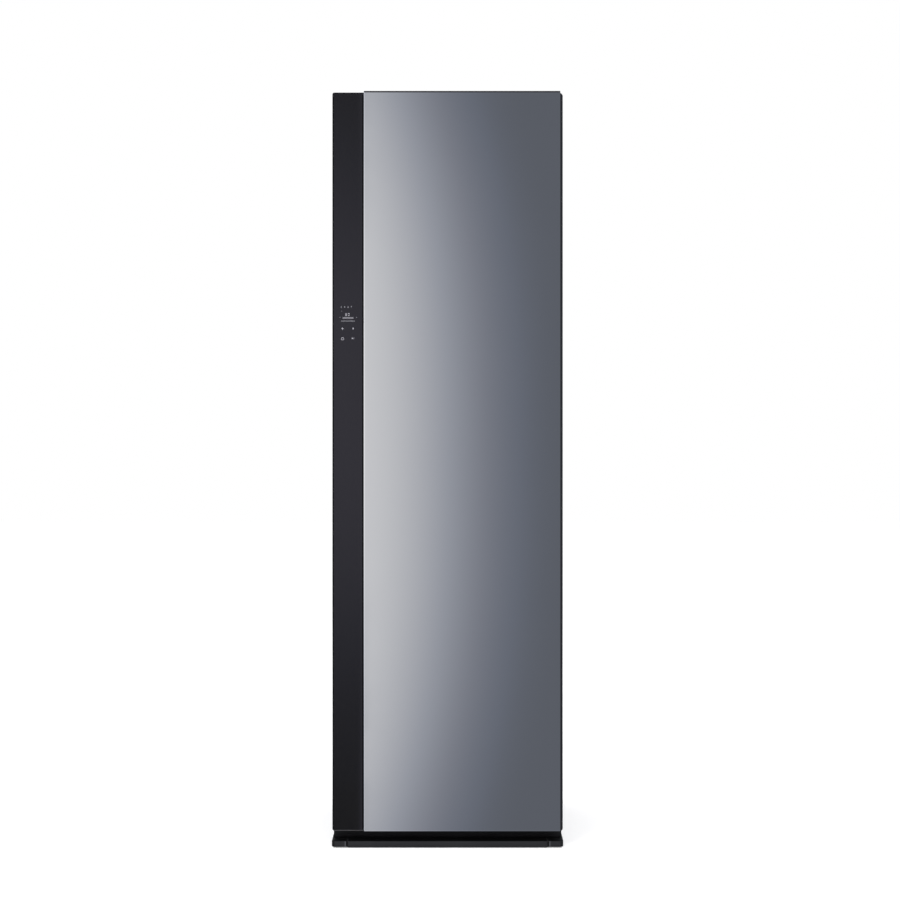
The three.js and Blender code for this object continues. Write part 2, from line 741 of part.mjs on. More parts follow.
function buildHanger() {
  const ceiling = cavityTop - seam;
  const guideBottom = ceiling - guideHeight;
  const guideHalf = carriageWidth / 2 + guideClearance + guideSheet;
  const innerGuideHalf = guideHalf - guideSheet;
  const guideLength = 2 * (cavityHalf - guideInset);
  const carriageLength = guideLength - 2 * carriageTravel;
  const x = around(0, guideLength);
  const cutX = around(0, guideLength + 2 * overrun);
  const guide = cut(
    box(x, [-guideHalf, guideHalf], [guideBottom, ceiling]),
    box(cutX, [-innerGuideHalf, innerGuideHalf], [guideBottom + guideSheet, ceiling - guideSheet]),
    box(cutX, [guideLip - innerGuideHalf, innerGuideHalf - guideLip], [guideBottom - overrun,
      guideBottom + guideSheet + overrun]),
    rodZ(crankShaftRadius + shaftClearance, 0, 0, [ceiling - guideSheet - overrun, ceiling + overrun]),
  );
  addPiece(cabinet, 'hanger_guide', guide, galvanized);

  const barZ = cavityTop - hangerBarDrop;
  const carriageLow = guideBottom + guideSheet + seam;
  const carriageHigh = carriageLow + carriageThickness;
  const slotWidth = 2 * crankPinRadius + 2 * crankGap;
  const carriage = cut(
    box(around(0, carriageLength), around(0, carriageWidth), [carriageLow, carriageHigh]),
    box(around(0, slotWidth), around(0, crankSlotLength), [carriageLow - overrun, carriageHigh + overrun]),
  );
  const arms = [-1, 1].map((side) => box(
    around(side * ((carriageLength - hangerArmWidth) / 2 - hangerArmInset), hangerArmWidth),
    around(0, hangerArmDepth),
    [barZ, carriageLow + carriageThickness / 2],
  ));
  const hanger = movingGroup(cabinet, 0, 0, barZ);
  addPiece(hanger, 'hanger_bar', join(hangerBarGeometry(barZ), carriage, ...arms), brushedSteel);

  const pinLow = carriageHigh + crankGap;
  const discHigh = ceiling - guideSheet - crankGap;
  const discLow = discHigh - crankThickness;
  const crank = join(
    rodZ(crankRadius, 0, 0, [discLow, discHigh]),
    rodZ(crankPinRadius, crankThrow, 0, [pinLow, discLow + seam], smallRoundSides),
    rodZ(crankShaftRadius, 0, 0, [discHigh - seam, cavityTop + linerThickness + seam], smallRoundSides),
  );
  addPiece(movingGroup(cabinet, 0, 0, discLow), 'drive_crank', crank, blackMetal);

  const motorLow = cavityTop + linerThickness + 2 * seam;
  const motor = join(
    rodZ(motorFlangeRadius, 0, 0, [motorLow, motorLow + motorFlangeHeight]),
    rodZ(motorRadius, 0, 0, [motorLow, motorLow + motorHeight]),
  );
  addPiece(cabinet, 'hanger_motor', motor, blackMetal);
}

// Tank bay and the two water tanks, each with a lid, a folding handle and a filling cap.
function buildTankBay() {
  const outerHalf = cavityHalf + bayWall;
  const y = [frameBackY + seam, bayRearY];
  const compartment = (side) => {
    const inner = bayDivider / 2;
    const x = side < 0 ? [-cavityHalf, -inner] : [inner, cavityHalf];
    return box(x, [y[0] - overrun, bayBackY], [bayBottom, bayTop]);
  };
  const bay = cut(box([-outerHalf, outerHalf], y, [bayBottom - bayWall, bayTop + bayWall]),
    compartment(-1), compartment(1));
  addPiece(cabinet, 'tank_bay', bay, linerPlastic);
}

function buildTank(name, side) {
  const tankWidth = cavityHalf - bayDivider / 2 - 2 * tankSideGap;
  const middleX = side * (bayDivider / 2 + tankSideGap + tankWidth / 2);
  const x = around(middleX, tankWidth);
  const y = [tankFrontY, tankBackY];
  const bottom = bayBottom + seam;
  const rim = bottom + tankHeight;
  const inner = (range) => [range[0] + tankWall, range[1] - tankWall];
  const shell = cut(
    slab(rectangle(x, y, tankCornerRadius), [bottom, rim]),
    slab(rectangle(inner(x), inner(y), tankCornerRadius - tankWall), [bottom + tankWall, rim + overrun]),
  );
  const tank = movingGroup(cabinet, middleX, tankFrontY, bottom);
  addPiece(tank, `${name}_tank`, shell, tankPlastic);

  const lidLow = rim + seam;
  const lidHigh = lidLow + lidThickness;
  const capY = y[1] - capRearInset;
  const pivotY = y[0] + handleFrontInset;
  const barZ = lidHigh + seam + handleBar / 2;
  const handleSpan = tankWidth - 2 * handleSideInset;
  const earX = handleSpan / 2 + seam;
  const ears = [-1, 1].map((end) => {
    const inside = middleX + end * earX;
    const outside = inside + end * handleEarWidth;
    return box([Math.min(inside, outside), Math.max(inside, outside)], around(pivotY, handleBar),
      [lidLow, lidHigh + handleEarRise]);
  });
  const lid = cut(join(slab(rectangle(x, y, tankCornerRadius), [lidLow, lidHigh]), ...ears),
    rodZ(fillHoleRadius, middleX, capY, [lidLow - overrun, lidHigh + overrun]));
  addPiece(tank, `${name}_tank_lid`, lid, smokePlastic);

  const handleX = around(middleX, handleSpan);
  const handleZ = around(barZ, handleBar);
  const armInset = [handleX[0] + handleBar, handleX[1] - handleBar];
  const handle = cut(
    join(box(handleX, [pivotY, pivotY + handleArm], handleZ), rodX(handleBar / 2, handleX, pivotY, barZ)),
    box(armInset, [pivotY - handleBar, pivotY + handleArm - handleBar], [handleZ[0] - overrun,
      handleZ[1] + overrun]),
  );
  addPiece(movingGroup(tank, middleX, pivotY, barZ), `${name}_tank_handle`, handle, darkPlastic);

  const capLow = lidHigh + seam;
  const capHinge = capY + capRadius + capTongueLength;
  const capZ = capLow + capThickness / 2;
  const cap = join(
    rodZ(capRadius, middleX, capY, [capLow, capLow + capThickness]),
    box(around(middleX, capTongueWidth), [capY, capHinge], [capLow, capLow + capThickness]),
    rodX(capThickness / 2, around(middleX, capTongueWidth), capHinge, capZ),
  );
  addPiece(movingGroup(tank, middleX, capHinge, capZ), `${name}_tank_cap`, cap, smokePlastic);
}

// Heat pump: a duct trough under the cavity floor, two coils between end plates, and a fan.
function buildDuct() {
  const ductFront = bayRearY + ductBayGap;
  const ductBack = backY - ductRearInset;
  const ductTop = floorUnderside - seam;
  const ductBottom = ductTop - ductDepth;
  const inletFront = filterFront - filterFlange;
  const inletBottom = ductTop - inletDepth;
  const ductLength = ductBack - ductFront;
  const x = [-ductHalf, ductHalf];
  const inside = [ductWall - ductHalf, ductHalf - ductWall];
  const fanY = ductFront + ductLength * fanMiddleShare;
  const fanRadius = ductLength * fanRadiusShare;
  const duct = cut(
    join(box(x, [ductFront, ductBack], [ductBottom, ductTop]),
      box(x, [inletFront, ductFront + ductWall], [inletBottom, ductTop])),
    box(inside, [ductFront + ductWall, ductBack - ductWall], [ductBottom + ductWall, ductTop + overrun]),
    box(inside, [inletFront + ductWall, ductFront + 2 * ductWall],
      [inletBottom + ductWall, ductTop + overrun]),
    rodZ(fanShaftRadius + shaftClearance, 0, fanY, [ductBottom - overrun, ductBottom + ductWall + overrun]),
  );
  addPiece(cabinet, 'duct_housing', duct, darkPlastic);

  const coilThickness = ductLength * coilThicknessShare;
  const coilLow = ductBottom + ductWall + seam;
  const coilX = [inside[0] + coilSideGap, inside[1] - coilSideGap];
  const coil = (front) => {
    const slits = [];
    const pitch = (coilX[1] - coilX[0]) / (coilSlitCount + 1);
    for (let index = 1; index <= coilSlitCount; index += 1) {
      const x = around(coilX[0] + index * pitch, Math.min(coilSlitWidth, pitch / 2));
      slits.push(box(x, [front - overrun, front + coilThickness + overrun],
        [coilLow + coilFoot, coilLow + coilHeight + overrun]));
    }
    return cut(box(coilX, [front, front + coilThickness], [coilLow, coilLow + coilHeight]), ...slits);
  };
  const firstCoil = ductFront + ductLength * coilFrontShare;
  const secondCoil = firstCoil + coilThickness + ductLength * coilSpacingShare;
  const endPlate = (x) => box(x, [firstCoil, secondCoil + coilThickness], [coilLow, coilLow + coilHeight]);
  const coils = join(coil(firstCoil), coil(secondCoil), endPlate([coilX[0], coilX[0] + coilEndPlate]),
    endPlate([coilX[1] - coilEndPlate, coilX[1]]));
  addPiece(cabinet, 'heat_exchanger', coils, coilMetal);

  const wheelLow = ductBottom + fanLift;
  const blades = [];
  for (let index = 0; index < fanBladeCount; index += 1) {
    const blade = box([fanRadius * (1 - fanBladeShare), fanRadius], around(0, fanBladeThickness),
      [wheelLow, wheelLow + fanHeight]);
    blades.push(blade.rotateZ((index / fanBladeCount) * Math.PI * 2).translate(0, fanY, 0));
  }
  const motorTop = ductBottom - seam;
  const wheel = join(
    rodZ(fanRadius, 0, fanY, [wheelLow, wheelLow + fanPlate]),
    rodZ(fanRadius * fanHubShare, 0, fanY, [wheelLow, wheelLow + fanHeight / 2]),
    rodZ(fanShaftRadius, 0, fanY, [motorTop + seam, wheelLow + fanPlate / 2], smallRoundSides),
    ...blades,
  );
  addPiece(movingGroup(cabinet, 0, fanY, wheelLow), 'fan_impeller', wheel, darkPlastic);
  const motor = rodZ(fanRadius * fanMotorShare, 0, fanY, [motorTop - fanMotorHeight, motorTop]);
  addPiece(cabinet, 'fan_motor', motor, blackMetal);
}

// Compressor, steam generator, pumps, control box and power inlet.
function buildMachines() {
  const deck = baseHeight + seam;
  const compressorX = innerHalf - compressorSideInset;
  const compressorY = bayRearY + roomDepth * compressorPlaceShare;
  const footTop = deck + compressorFootHeight;
  const top = deck + compressorHeight;
  const can = [
    [0, footTop - compressorFootHeight / 2], [compressorRadius, footTop - compressorFootHeight / 2],
    [compressorRadius, top - compressorDome], [compressorRadius / 2, top], [0, top],
  ];
  const compressor = join(
    turned(can, compressorX, compressorY),
    slab(rectangle(around(compressorX, compressorFootSize), around(compressorY, compressorFootSize),
      compressorFootCorner), [deck, footTop]),
  );
  addPiece(cabinet, 'compressor', compressor, blackMetal);

  const generatorTop = floorUnderside - floorThickness - seam;
  const generatorZ = [generatorTop - generatorHeight, generatorTop];
  const generator = slab(rectangle(around(nozzleX, generatorWidth), around(nozzleY, generatorDepth),
    generatorCorner), generatorZ);
  addPiece(cabinet, 'steam_generator', generator, galvanized);

  const pumpX = pumpSideInset - innerHalf;
  const pumpY = bayRearY + roomDepth * pumpPlaceShare;
  const pumpPlate = slab(rectangle(around(pumpX, 2 * pumpFlangeRadius),
    [pumpY - pumpFlangeRadius, pumpY + pumpPitch + pumpFlangeRadius], pumpPlateCorner),
  [deck, deck + pumpFlangeHeight]);
  const pump = (y) => rodZ(pumpRadius, pumpX, y, [deck, deck + pumpHeight]);
  addPiece(cabinet, 'pump_pair', join(pumpPlate, pump(pumpY), pump(pumpY + pumpPitch)), boardPlastic);

  const controlX = [controlSideInset - innerHalf, controlSideInset - innerHalf + controlWidth];
  const controlY = [rearPanelY - seam - controlDepth, rearPanelY - seam];
  const controlLow = inletLift + inletHeight + controlLift;
  const controlZ = [controlLow, controlLow + controlHeight];
  const control = plate(rectangle(controlX, controlZ, controlCorner), controlY);
  addPiece(cabinet, 'control_box', control, boardPlastic);

  const inletX = around(inletSideInset - innerHalf, inletWidth);
  const inletZ = [inletLift, inletLift + inletHeight];
  const inletMiddle = inletLift + inletHeight / 2;
  const inlet = cut(
    box(inletX, [backY - inletBody, backY], inletZ),
    box(around(inletSideInset - innerHalf, inletSocketWidth), [backY - inletSocketDepth, backY + overrun],
      around(inletMiddle, inletSocketHeight)),
  );
  addPiece(cabinet, 'power_inlet', inlet, darkPlastic);
}

// Hinge hardware on the cabinet: a plate with a pin above and below the door, and a cover.
function buildHinges() {
  const plateX = around(hingeX, hingePlateWidth);
  const top = [cabinetTop + seam, cabinetTop + seam + hingePlate];
  const pinZ = [cabinetTop - hingePinLength, top[0] + hingePlate / 2];
  const topPlate = join(
    box(plateX, [hingeY, hingeY + hingePlateTail], top),
    rodZ(hingePlateWidth / 2, hingeX, hingeY, top),
    rodZ(hingePinRadius, hingeX, hingeY, pinZ, smallRoundSides),
  );
  addPiece(cabinet, 'hinge_bracket_top', topPlate, galvanized);

  const hollowX = [plateX[0] - hingeClearance, plateX[1] + hingeClearance];
  const hollowBack = hingeY + hingePlateTail + hingeClearance;
  const coverX = [hollowX[0] - hingeCoverWall, hollowX[1] + hingeCoverWall];
  const coverY = [frameFrontY + hingeCoverFrontGap, hollowBack + hingeCoverWall];
  const coverTop = overallHeight - seam;
  const cover = cut(
    box(coverX, coverY, [cabinetTop + seam, coverTop]),
    box(hollowX, [coverY[0] - overrun, hollowBack], [cabinetTop - overrun, coverTop - hingeCoverWall]),
  );
  addPiece(cabinet, 'hinge_cover', cover, darkPlastic);

  const low = [doorBottom - hingeLift - hingePlate, doorBottom - hingeLift];
  const lowPinZ = [low[0] + hingePlate / 2, doorBottom + hingePinLength];
  const lowPlate = join(
    box(plateX, [hingeY, frameFrontY - seam], low),
    rodZ(hingePlateWidth / 2, hingeX, hingeY, low),
    rodZ(hingePinRadius, hingeX, hingeY, lowPinZ, smallRoundSides),
  );
  addPiece(cabinet, 'hinge_bracket_bottom', lowPlate, galvanized);
}

// Door: a moulded tray with the mirror, the control strip and the edge trim on its front, a
// liner and a gasket on its back, and bores for the hinge pins.
const doorSkinY = doorFrontY + mirrorThickness;
const doorLinerY = doorBackY - doorLinerThickness;
const doorFrameTop = overallHeight - mirrorRise;
const hingeRecessFloor = doorFrameTop - hingeRecessDepth;
const trimX = bodyHalf - trimWidth;
const stripEdge = stripWidth - bodyHalf;

function doorOutline() {
  return outline([
    [-bodyHalf, doorBottom, doorCornerRadius],
    [bodyHalf, doorBottom, doorCornerRadius],
    [bodyHalf, doorFrameTop - doorCornerChamfer],
    [bodyHalf - doorCornerChamfer, doorFrameTop],
    [-bodyHalf, doorFrameTop, doorCornerRadius],
  ]);
}

function hingeRecess() {
  const x = [hingeX - hingeBossInset, bodyHalf + overrun];
  return box(x, [hingeY - hingeRecessReach, doorBackY + overrun], [hingeRecessFloor, doorFrameTop + overrun]);
}

function buildDoorShell(door) {
  const skinBack = doorSkinY + doorSkin;
  const shellBack = doorLinerY - seam;
  const pocket = box([doorWall - bodyHalf, bodyHalf - doorWall], [skinBack, doorBackY + overrun],
    [doorBottom + doorWall, doorFrameTop - doorWall]);
  const bossX = [hingeX - hingeBossInset, bodyHalf - doorWall / 2];
  const bossY = [skinBack - doorSkin / 2, shellBack];
  const topBoss = box(bossX, bossY, [hingeRecessFloor - hingeBossHeight, doorFrameTop - doorWall / 2]);
  const lowBoss = box(bossX, bossY, [doorBottom + doorWall / 2, doorBottom + hingeBossHeight]);
  const gripX = [doorWall / 2 - bodyHalf, gripDepth + gripWall - bodyHalf];
  const gripMiddleY = (skinBack + shellBack) / 2;
  const gripBlock = box(gripX, around(gripMiddleY, gripGap + 2 * gripWall),
    around(gripHeight, gripLength + 2 * gripWall));
  const gripPocket = box([-bodyHalf - overrun, gripDepth - bodyHalf], around(gripMiddleY, gripGap),
    around(gripHeight, gripLength));
  const bore = (z) => rodZ(hingePinRadius + hingeClearance, hingeX, hingeY, z, smallRoundSides);
  const shell = cut(
    join(cut(plate(doorOutline(), [doorSkinY, shellBack]), pocket), topBoss, lowBoss, gripBlock),
    gripPocket,
    hingeRecess(),
    bore([cabinetTop - hingePinLength - hingeLift, doorFrameTop + overrun]),
    bore([doorBottom - overrun, doorBottom + hingePinLength + hingeLift]),
  );
  addPiece(door, 'door_frame', shell, darkPlastic);

  const liner = cut(plate(doorOutline(), [doorLinerY, doorBackY]), hingeRecess());
  addPiece(door, 'door_liner', liner, linerPlastic);

  const gasketHalf = bodyHalf - gasketSideInset;
  const gasketX = [-gasketHalf, gasketHalf];
  const gasketZ = [doorBottom + gasketBottomInset, cabinetTop - gasketTopInset];
  const ring = rectangle(gasketX, gasketZ, gasketCornerRadius);
  ring.holes.push(rectangle([gasketWidth - gasketHalf, gasketHalf - gasketWidth],
    [gasketZ[0] + gasketWidth, gasketZ[1] - gasketWidth], gasketCornerRadius / 2));
  addPiece(door, 'door_gasket', plate(ring, [doorBackY + seam, frameFrontY - seam]), blackRubber);
}

function buildDoorFront(door) {
  const mirrorX = [stripEdge + glassGap / 2, trimX - glassGap / 2];
  const mirrorZ = [doorBottom, overallHeight];
  const bevel = mirrorBevel;
  const face = rectangle([mirrorX[0] + bevel, mirrorX[1] - bevel], [mirrorZ[0] + bevel, mirrorZ[1] - bevel],
    bevel / 2);
  const mirror = new THREE.ExtrudeGeometry(face, {
    depth: mirrorThickness - seam - 2 * bevel,
    bevelEnabled: true,
    bevelThickness: bevel,
    bevelSize: bevel,
    bevelSegments: 1,
  });
  mirror.rotateX(Math.PI / 2).translate(0, doorSkinY - seam - bevel, 0);
  addPiece(door, 'mirror_panel', mirror, mirrorFinish);

  const stripX = [-bodyHalf, stripEdge - glassGap / 2];
  const stripLow = doorBottom + stripFootRise;
  const strip = outline([
    [stripX[0], stripLow],
    [stripX[1], stripLow],
    [stripX[1], doorFrameTop],
    [stripX[0], doorFrameTop, doorCornerRadius],
  ], 6);
  addPiece(door, 'control_strip', plate(strip, [doorFrontY + stripStep, doorSkinY - seam]), blackGlass);

  const trimLow = doorBottom + trimEndGap;
  const trimTop = doorFrameTop - trimEndGap / 2;
  const trimInner = trimX + glassGap / 2;
  const trim = outline([
    [trimInner, trimLow],
    [bodyHalf - trimChamfer / 2, trimLow],
    [bodyHalf, trimLow + trimChamfer / 2],
    [bodyHalf, trimTop - trimChamfer],
    [trimInner, trimTop],
  ]);
  addPiece(door, 'door_trim', plate(trim, [doorFrontY + trimStep, doorSkinY - seam]), darkSteel);
}

// Trouser press: a pad on the door liner and a hinged panel that folds against it.
function buildPress(door) {
  const z = [pressFootHeight, pressTop];
  const padX = [-pressHalf, pressHalf];
  const padY = [doorBackY + seam, doorBackY + seam + padThickness];
  addPiece(door, 'press_pad', plate(rectangle(padX, z, pressBarrelRadius), padY), padFabric);

  const panelY = [padY[1] + pressGap, padY[1] + pressGap + pressPanelThickness];
  const axisX = padX[1] + pressStripWidth / 2;
  const axisY = (panelY[0] + panelY[1]) / 2;
  const earLow = z[0] - pressEarGap - pressEarHeight;
  const earHigh = z[1] + pressEarGap;
  const stripX = around(axisX, pressStripWidth - 2 * seam);
  const ear = (low) => box(stripX, [padY[0], panelY[1]], [low, low + pressEarHeight]);
  const pinHole = (low) => rodZ(pressPinRadius + pressPinClearance, axisX, axisY,
    [low - overrun, low + pressEarHeight + overrun], smallRoundSides);
  const hingeStrip = cut(
    join(box(stripX, [padY[0], padY[0] + pressStripDepth], [earLow, earHigh + pressEarHeight]),
      ear(earLow), ear(earHigh)),
    pinHole(earLow),
    pinHole(earHigh),
  );
  addPiece(door, 'press_hinge_strip', hingeStrip, darkPlastic);

  const panel = join(
    plate(rectangle([padX[0], axisX], z, 2 * mirrorBevel), panelY),
    rodZ(pressBarrelRadius, axisX, axisY, z, smallRoundSides),
    rodZ(pressPinRadius, axisX, axisY, [z[0] - pressPinLength, z[1] + pressPinLength], smallRoundSides),
  );
  const press = movingGroup(door, axisX, axisY, z[0]);
  addPiece(press, 'press_panel', panel, smokePlastic);

  const latchZ = around((z[0] + z[1]) / 2, latchHeight);
  const noseX = [padX[0] - latchClearance - latchNoseWidth, padX[0] - latchClearance];
  const leverY = [panelY[1] + seam, panelY[1] + seam + latchThickness];
  const pivotX = noseX[0] + latchLength;
  const pivotY = (leverY[0] + leverY[1]) / 2;
  const latch = join(
    box([noseX[0], pivotX], leverY, latchZ),
    rodZ(latchThickness / 2, pivotX, pivotY, latchZ, smallRoundSides),
    box(noseX, [panelY[1] - latchNoseReach, leverY[1]], latchZ),
  );
  addPiece(movingGroup(press, pivotX, pivotY, latchZ[0]), 'press_latch', latch, darkPlastic);
}

function buildTrouserHanger(door) {
  const railLow = pressTop + railGapAbovePress;
  const clipHalf = pressHalf - clipBarInset;
  const railY = [doorBackY + seam, doorBackY + seam + railDepth];
  const rail = box(around(0, railWidth), railY, [railLow, railLow + railLength]);
  addPiece(door, 'trouser_rail', rail, brushedSteel);

  const carriageY = [railY[1] + seam, railY[1] + seam + clipCarriageDepth];
  const carriageLow = railLow + clipRailRise;
  const barY = [carriageY[0] + overrun, carriageY[0] + overrun + clipBarDepth];
  const barZ = [carriageLow, carriageLow + clipBarHeight];
  const jaws = [-1, 1].map((side) => box(
    around(side * (clipHalf - clipJawInset), clipJawWidth),
    carriageY,
    [barZ[1] - clipJawHeight, barZ[1] - overrun],
  ));
  const clip = join(
    box(around(0, clipCarriageWidth), carriageY, [carriageLow, carriageLow + clipCarriageHeight]),
    box([-clipHalf, clipHalf], barY, barZ),
    ...jaws,
  );
  addPiece(movingGroup(door, 0, carriageY[0], carriageLow), 'trouser_clip', clip, darkPlastic);
}

buildBase();
buildShell();
buildInnerCase();
buildFloor();
buildFilter();
buildShelf();
buildHanger();
buildTankBay();
buildTank('supply', -1);
buildTank('drain', 1);
buildDuct();
buildMachines();
buildHinges();

const door = movingGroup(cabinet, hingeX, hingeY, doorBottom);
buildDoorShell(door);
buildDoorFront(door);
buildPress(door);
buildTrouserHanger(door);

export default cabinet;
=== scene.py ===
# Clothes care steam cabinet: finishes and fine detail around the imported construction.
# Metres throughout. The door faces -Y and Z is up, as in the frame.
import json
import math

import bmesh
import bpy
from mathutils import Matrix, Vector


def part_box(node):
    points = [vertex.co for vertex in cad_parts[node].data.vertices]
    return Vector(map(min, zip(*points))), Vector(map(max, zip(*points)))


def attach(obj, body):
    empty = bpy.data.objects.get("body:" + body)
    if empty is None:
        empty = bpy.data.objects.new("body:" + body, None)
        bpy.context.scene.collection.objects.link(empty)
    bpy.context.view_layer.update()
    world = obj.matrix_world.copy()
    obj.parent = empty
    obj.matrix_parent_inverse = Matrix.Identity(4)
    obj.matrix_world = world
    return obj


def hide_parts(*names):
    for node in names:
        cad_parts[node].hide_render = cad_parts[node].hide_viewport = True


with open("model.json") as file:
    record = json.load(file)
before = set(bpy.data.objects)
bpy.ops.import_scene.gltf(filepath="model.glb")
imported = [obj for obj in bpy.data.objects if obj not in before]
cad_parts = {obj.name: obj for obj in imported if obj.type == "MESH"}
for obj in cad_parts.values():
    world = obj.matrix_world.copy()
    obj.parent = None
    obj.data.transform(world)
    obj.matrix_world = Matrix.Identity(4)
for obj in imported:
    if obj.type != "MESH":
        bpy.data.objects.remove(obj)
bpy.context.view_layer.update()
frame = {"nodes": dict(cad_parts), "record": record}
nodes = frame["nodes"]
scene = bpy.context.scene
mm = 0.001
print("frame loaded:", len(nodes), "nodes")

cameraValues = {"distance": 4.5, "height": 1.0295, "side": 0.0063, "frameWidth": 2.3316, "sensor": 36,
                "farLimit": 60}


def setCamera(values):
    data = bpy.data.cameras.new("studioCamera")
    data.sensor_width = values["sensor"]
    data.lens = values["sensor"] * values["distance"] / values["frameWidth"]
    data.clip_end = values["farLimit"]
    camera = bpy.data.objects.new("studioCamera", data)
    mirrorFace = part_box("mirror_panel")[0].y
    camera.location = (values["side"], mirrorFace - values["distance"], values["height"])
    camera.rotation_euler = (math.pi / 2, 0, 0)
    scene.collection.objects.link(camera)
    scene.camera = camera


setCamera(cameraValues)


# Fills a node's inputs. A node given as a value stands for its first output.
def setInputs(node, inputs):
    for key, value in inputs.items():
        socket = node.inputs[key]
        if isinstance(value, bpy.types.Node):
            value = value.outputs[0]
        if isinstance(value, bpy.types.NodeSocket):
            node.id_data.links.new(value, socket)
        else:
            socket.default_value = (*value, 1) if socket.type == "RGBA" else value


def addNode(tree, kind, inputs=None, **settings):
    node = tree.nodes.new(kind)
    for key, value in settings.items():
        setattr(node, key, value)
    setInputs(node, inputs or {})
    return node


def compute(tree, operation, *numbers):
    return addNode(tree, "ShaderNodeMath", dict(enumerate(numbers)), operation=operation)


finish = {}


def newFinish(name):
    material = bpy.data.materials.new(name)
    material.use_nodes = True
    finish[name] = material
    return material.node_tree, material.node_tree.nodes["Principled BSDF"]


def surfaceCoordinates(tree, stretch=(1, 1, 1)):
    place = addNode(tree, "ShaderNodeTexCoord").outputs["Object"]
    return addNode(tree, "ShaderNodeMapping", {"Vector": place, "Scale": stretch})


def noiseOf(tree, vector, scale, detail, roughness=0.5):
    return addNode(tree, "ShaderNodeTexNoise",
                   {"Vector": vector, "Scale": scale, "Detail": detail, "Roughness": roughness})


def spread(tree, value, low, high, fromLow=0.3, fromHigh=0.7):
    return addNode(tree, "ShaderNodeMapRange", {"Value": value, "From Min": fromLow, "From Max": fromHigh,
                                                "To Min": low, "To Max": high})


def tint(tree, factor, values):
    return addNode(tree, "ShaderNodeMix", {"Factor": factor, 6: values["tone"], 7: values["secondTone"]},
                   data_type="RGBA").outputs[2]


def bumpFrom(tree, height, depth):
    return addNode(tree, "ShaderNodeBump", {"Height": height, "Distance": depth, "Strength": 1.0})


def scaleTone(tree, shader, factor):
    tone = shader.inputs["Base Color"].links[0].from_socket
    scaled = addNode(tree, "ShaderNodeVectorMath", {0: tone, "Scale": factor}, operation="SCALE")
    setInputs(shader, {"Base Color": scaled})


# Moulded and painted finishes: two close tones in soft patches, a grain for the bump, and a
# roughness that wanders a little. What isn't given is plain.
grainLabels = ("tone", "secondTone", "patchScale", "grainScale", "grainDepth", "roughness")


def grained(*measures, **others):
    return {"stretch": (1, 1, 1), "metallic": 0, "specular": 0.5, "specularTint": (1, 1, 1), "coat": 0,
            "transmission": 0, **dict(zip(grainLabels, measures)), **others}


grainedValues = {
    "touchGlass": grained((0.0052, 0.0050, 0.0039), (0.0059, 0.0057, 0.0045), 2.5, 40, 0.000002,
                          (0.018, 0.03), specular=0.435, specularTint=(0.737, 0.724, 1.0)),
    # painted shade down both sides of the touch strip
    "glassBorder": grained((0.0016, 0.0016, 0.0019), (0.0022, 0.0022, 0.0026), 20, 900, 0.00001,
                           (0.4, 0.5), specular=0.1),
    # painted highlight: a light line under the touch strip
    "footLine": grained((0.080, 0.079, 0.083), (0.090, 0.089, 0.094), 20, 900, 0.00001, (0.4, 0.5),
                        specular=0.3),
    "trimSteel": grained((0.030, 0.031, 0.036), (0.036, 0.037, 0.043), 8, 700, 0.00002, (0.34, 0.44),
                         metallic=0.75, stretch=(1, 1, 0.04)),
    "doorShell": grained((0.014, 0.014, 0.016), (0.018, 0.018, 0.021), 5, 900, 0.00005, (0.46, 0.58),
                         specular=0.35),
    "darkMoulding": grained((0.012, 0.012, 0.014), (0.017, 0.017, 0.020), 7, 800, 0.00005, (0.48, 0.62),
                            specular=0.35),
    # Kick plate: the dark moulding made darker still, as painted shade in the recess under the door.
    "shadedRecessMoulding": grained((0.0078, 0.0078, 0.0091), (0.0110, 0.0110, 0.0130), 7, 800, 0.00005,
                              (0.48, 0.62), specular=0.22),
    # Base moulding, with painted shade on the faces that look up.
    "baseMoulding": grained((0.0135, 0.0138, 0.0160), (0.0175, 0.0178, 0.0205), 6, 850, 0.00005,
                            (0.5, 0.62), specular=0.34, topShade=0.06),
    "sidePaint": grained((0.046, 0.048, 0.055), (0.052, 0.054, 0.062), 1.6, 260, 0.00004, (0.34, 0.42),
                         coat=0.15),
    "linerMoulding": grained((0.50, 0.505, 0.52), (0.54, 0.545, 0.56), 3, 500, 0.00004, (0.32, 0.42)),
    "smokeMoulding": grained((0.085, 0.092, 0.104), (0.105, 0.112, 0.126), 9, 240, 0.00001, (0.14, 0.22),
                             coat=0.4),
    "tankMoulding": grained((0.48, 0.55, 0.61), (0.55, 0.61, 0.66), 8, 900, 0.00001, (0.3, 0.38),
                            transmission=0.4),
    "rubberMoulding": grained((0.010, 0.010, 0.011), (0.017, 0.017, 0.018), 30, 1200, 0.00006,
                              (0.66, 0.82), specular=0.25),
    "blackEnamel": grained((0.010, 0.010, 0.012), (0.014, 0.014, 0.016), 12, 300, 0.00005, (0.3, 0.42),
                           coat=0.3),
    "boardMoulding": grained((0.15, 0.16, 0.17), (0.18, 0.19, 0.20), 10, 700, 0.00004, (0.5, 0.62)),
    "barSteel": grained((0.50, 0.51, 0.52), (0.58, 0.59, 0.60), 30, 900, 0.00003, (0.2, 0.32),
                        metallic=1.0, stretch=(0.05, 1, 1)),
    "screwSteel": grained((0.34, 0.34, 0.35), (0.46, 0.46, 0.47), 120, 1500, 0.00003, (0.25, 0.4),
                          metallic=1.0),
    "hoodPaint": grained((0.30, 0.305, 0.31), (0.36, 0.365, 0.37), 14, 600, 0.00004, (0.38, 0.5),
                         metallic=0.85),
    "contactBrass": grained((0.52, 0.42, 0.22), (0.60, 0.50, 0.28), 90, 900, 0.00002, (0.22, 0.34),
                            metallic=1.0),
}
# Corner mouldings: the base moulding, with painted shade where they round to the sides and a painted
# highlight line beside each joint.
grainedValues["cornerMoulding"] = {**grainedValues["baseMoulding"], "sideShade": 0.1,
                                   "paintedHighlightLine": (0.2645, 0.0017, 3.3)}


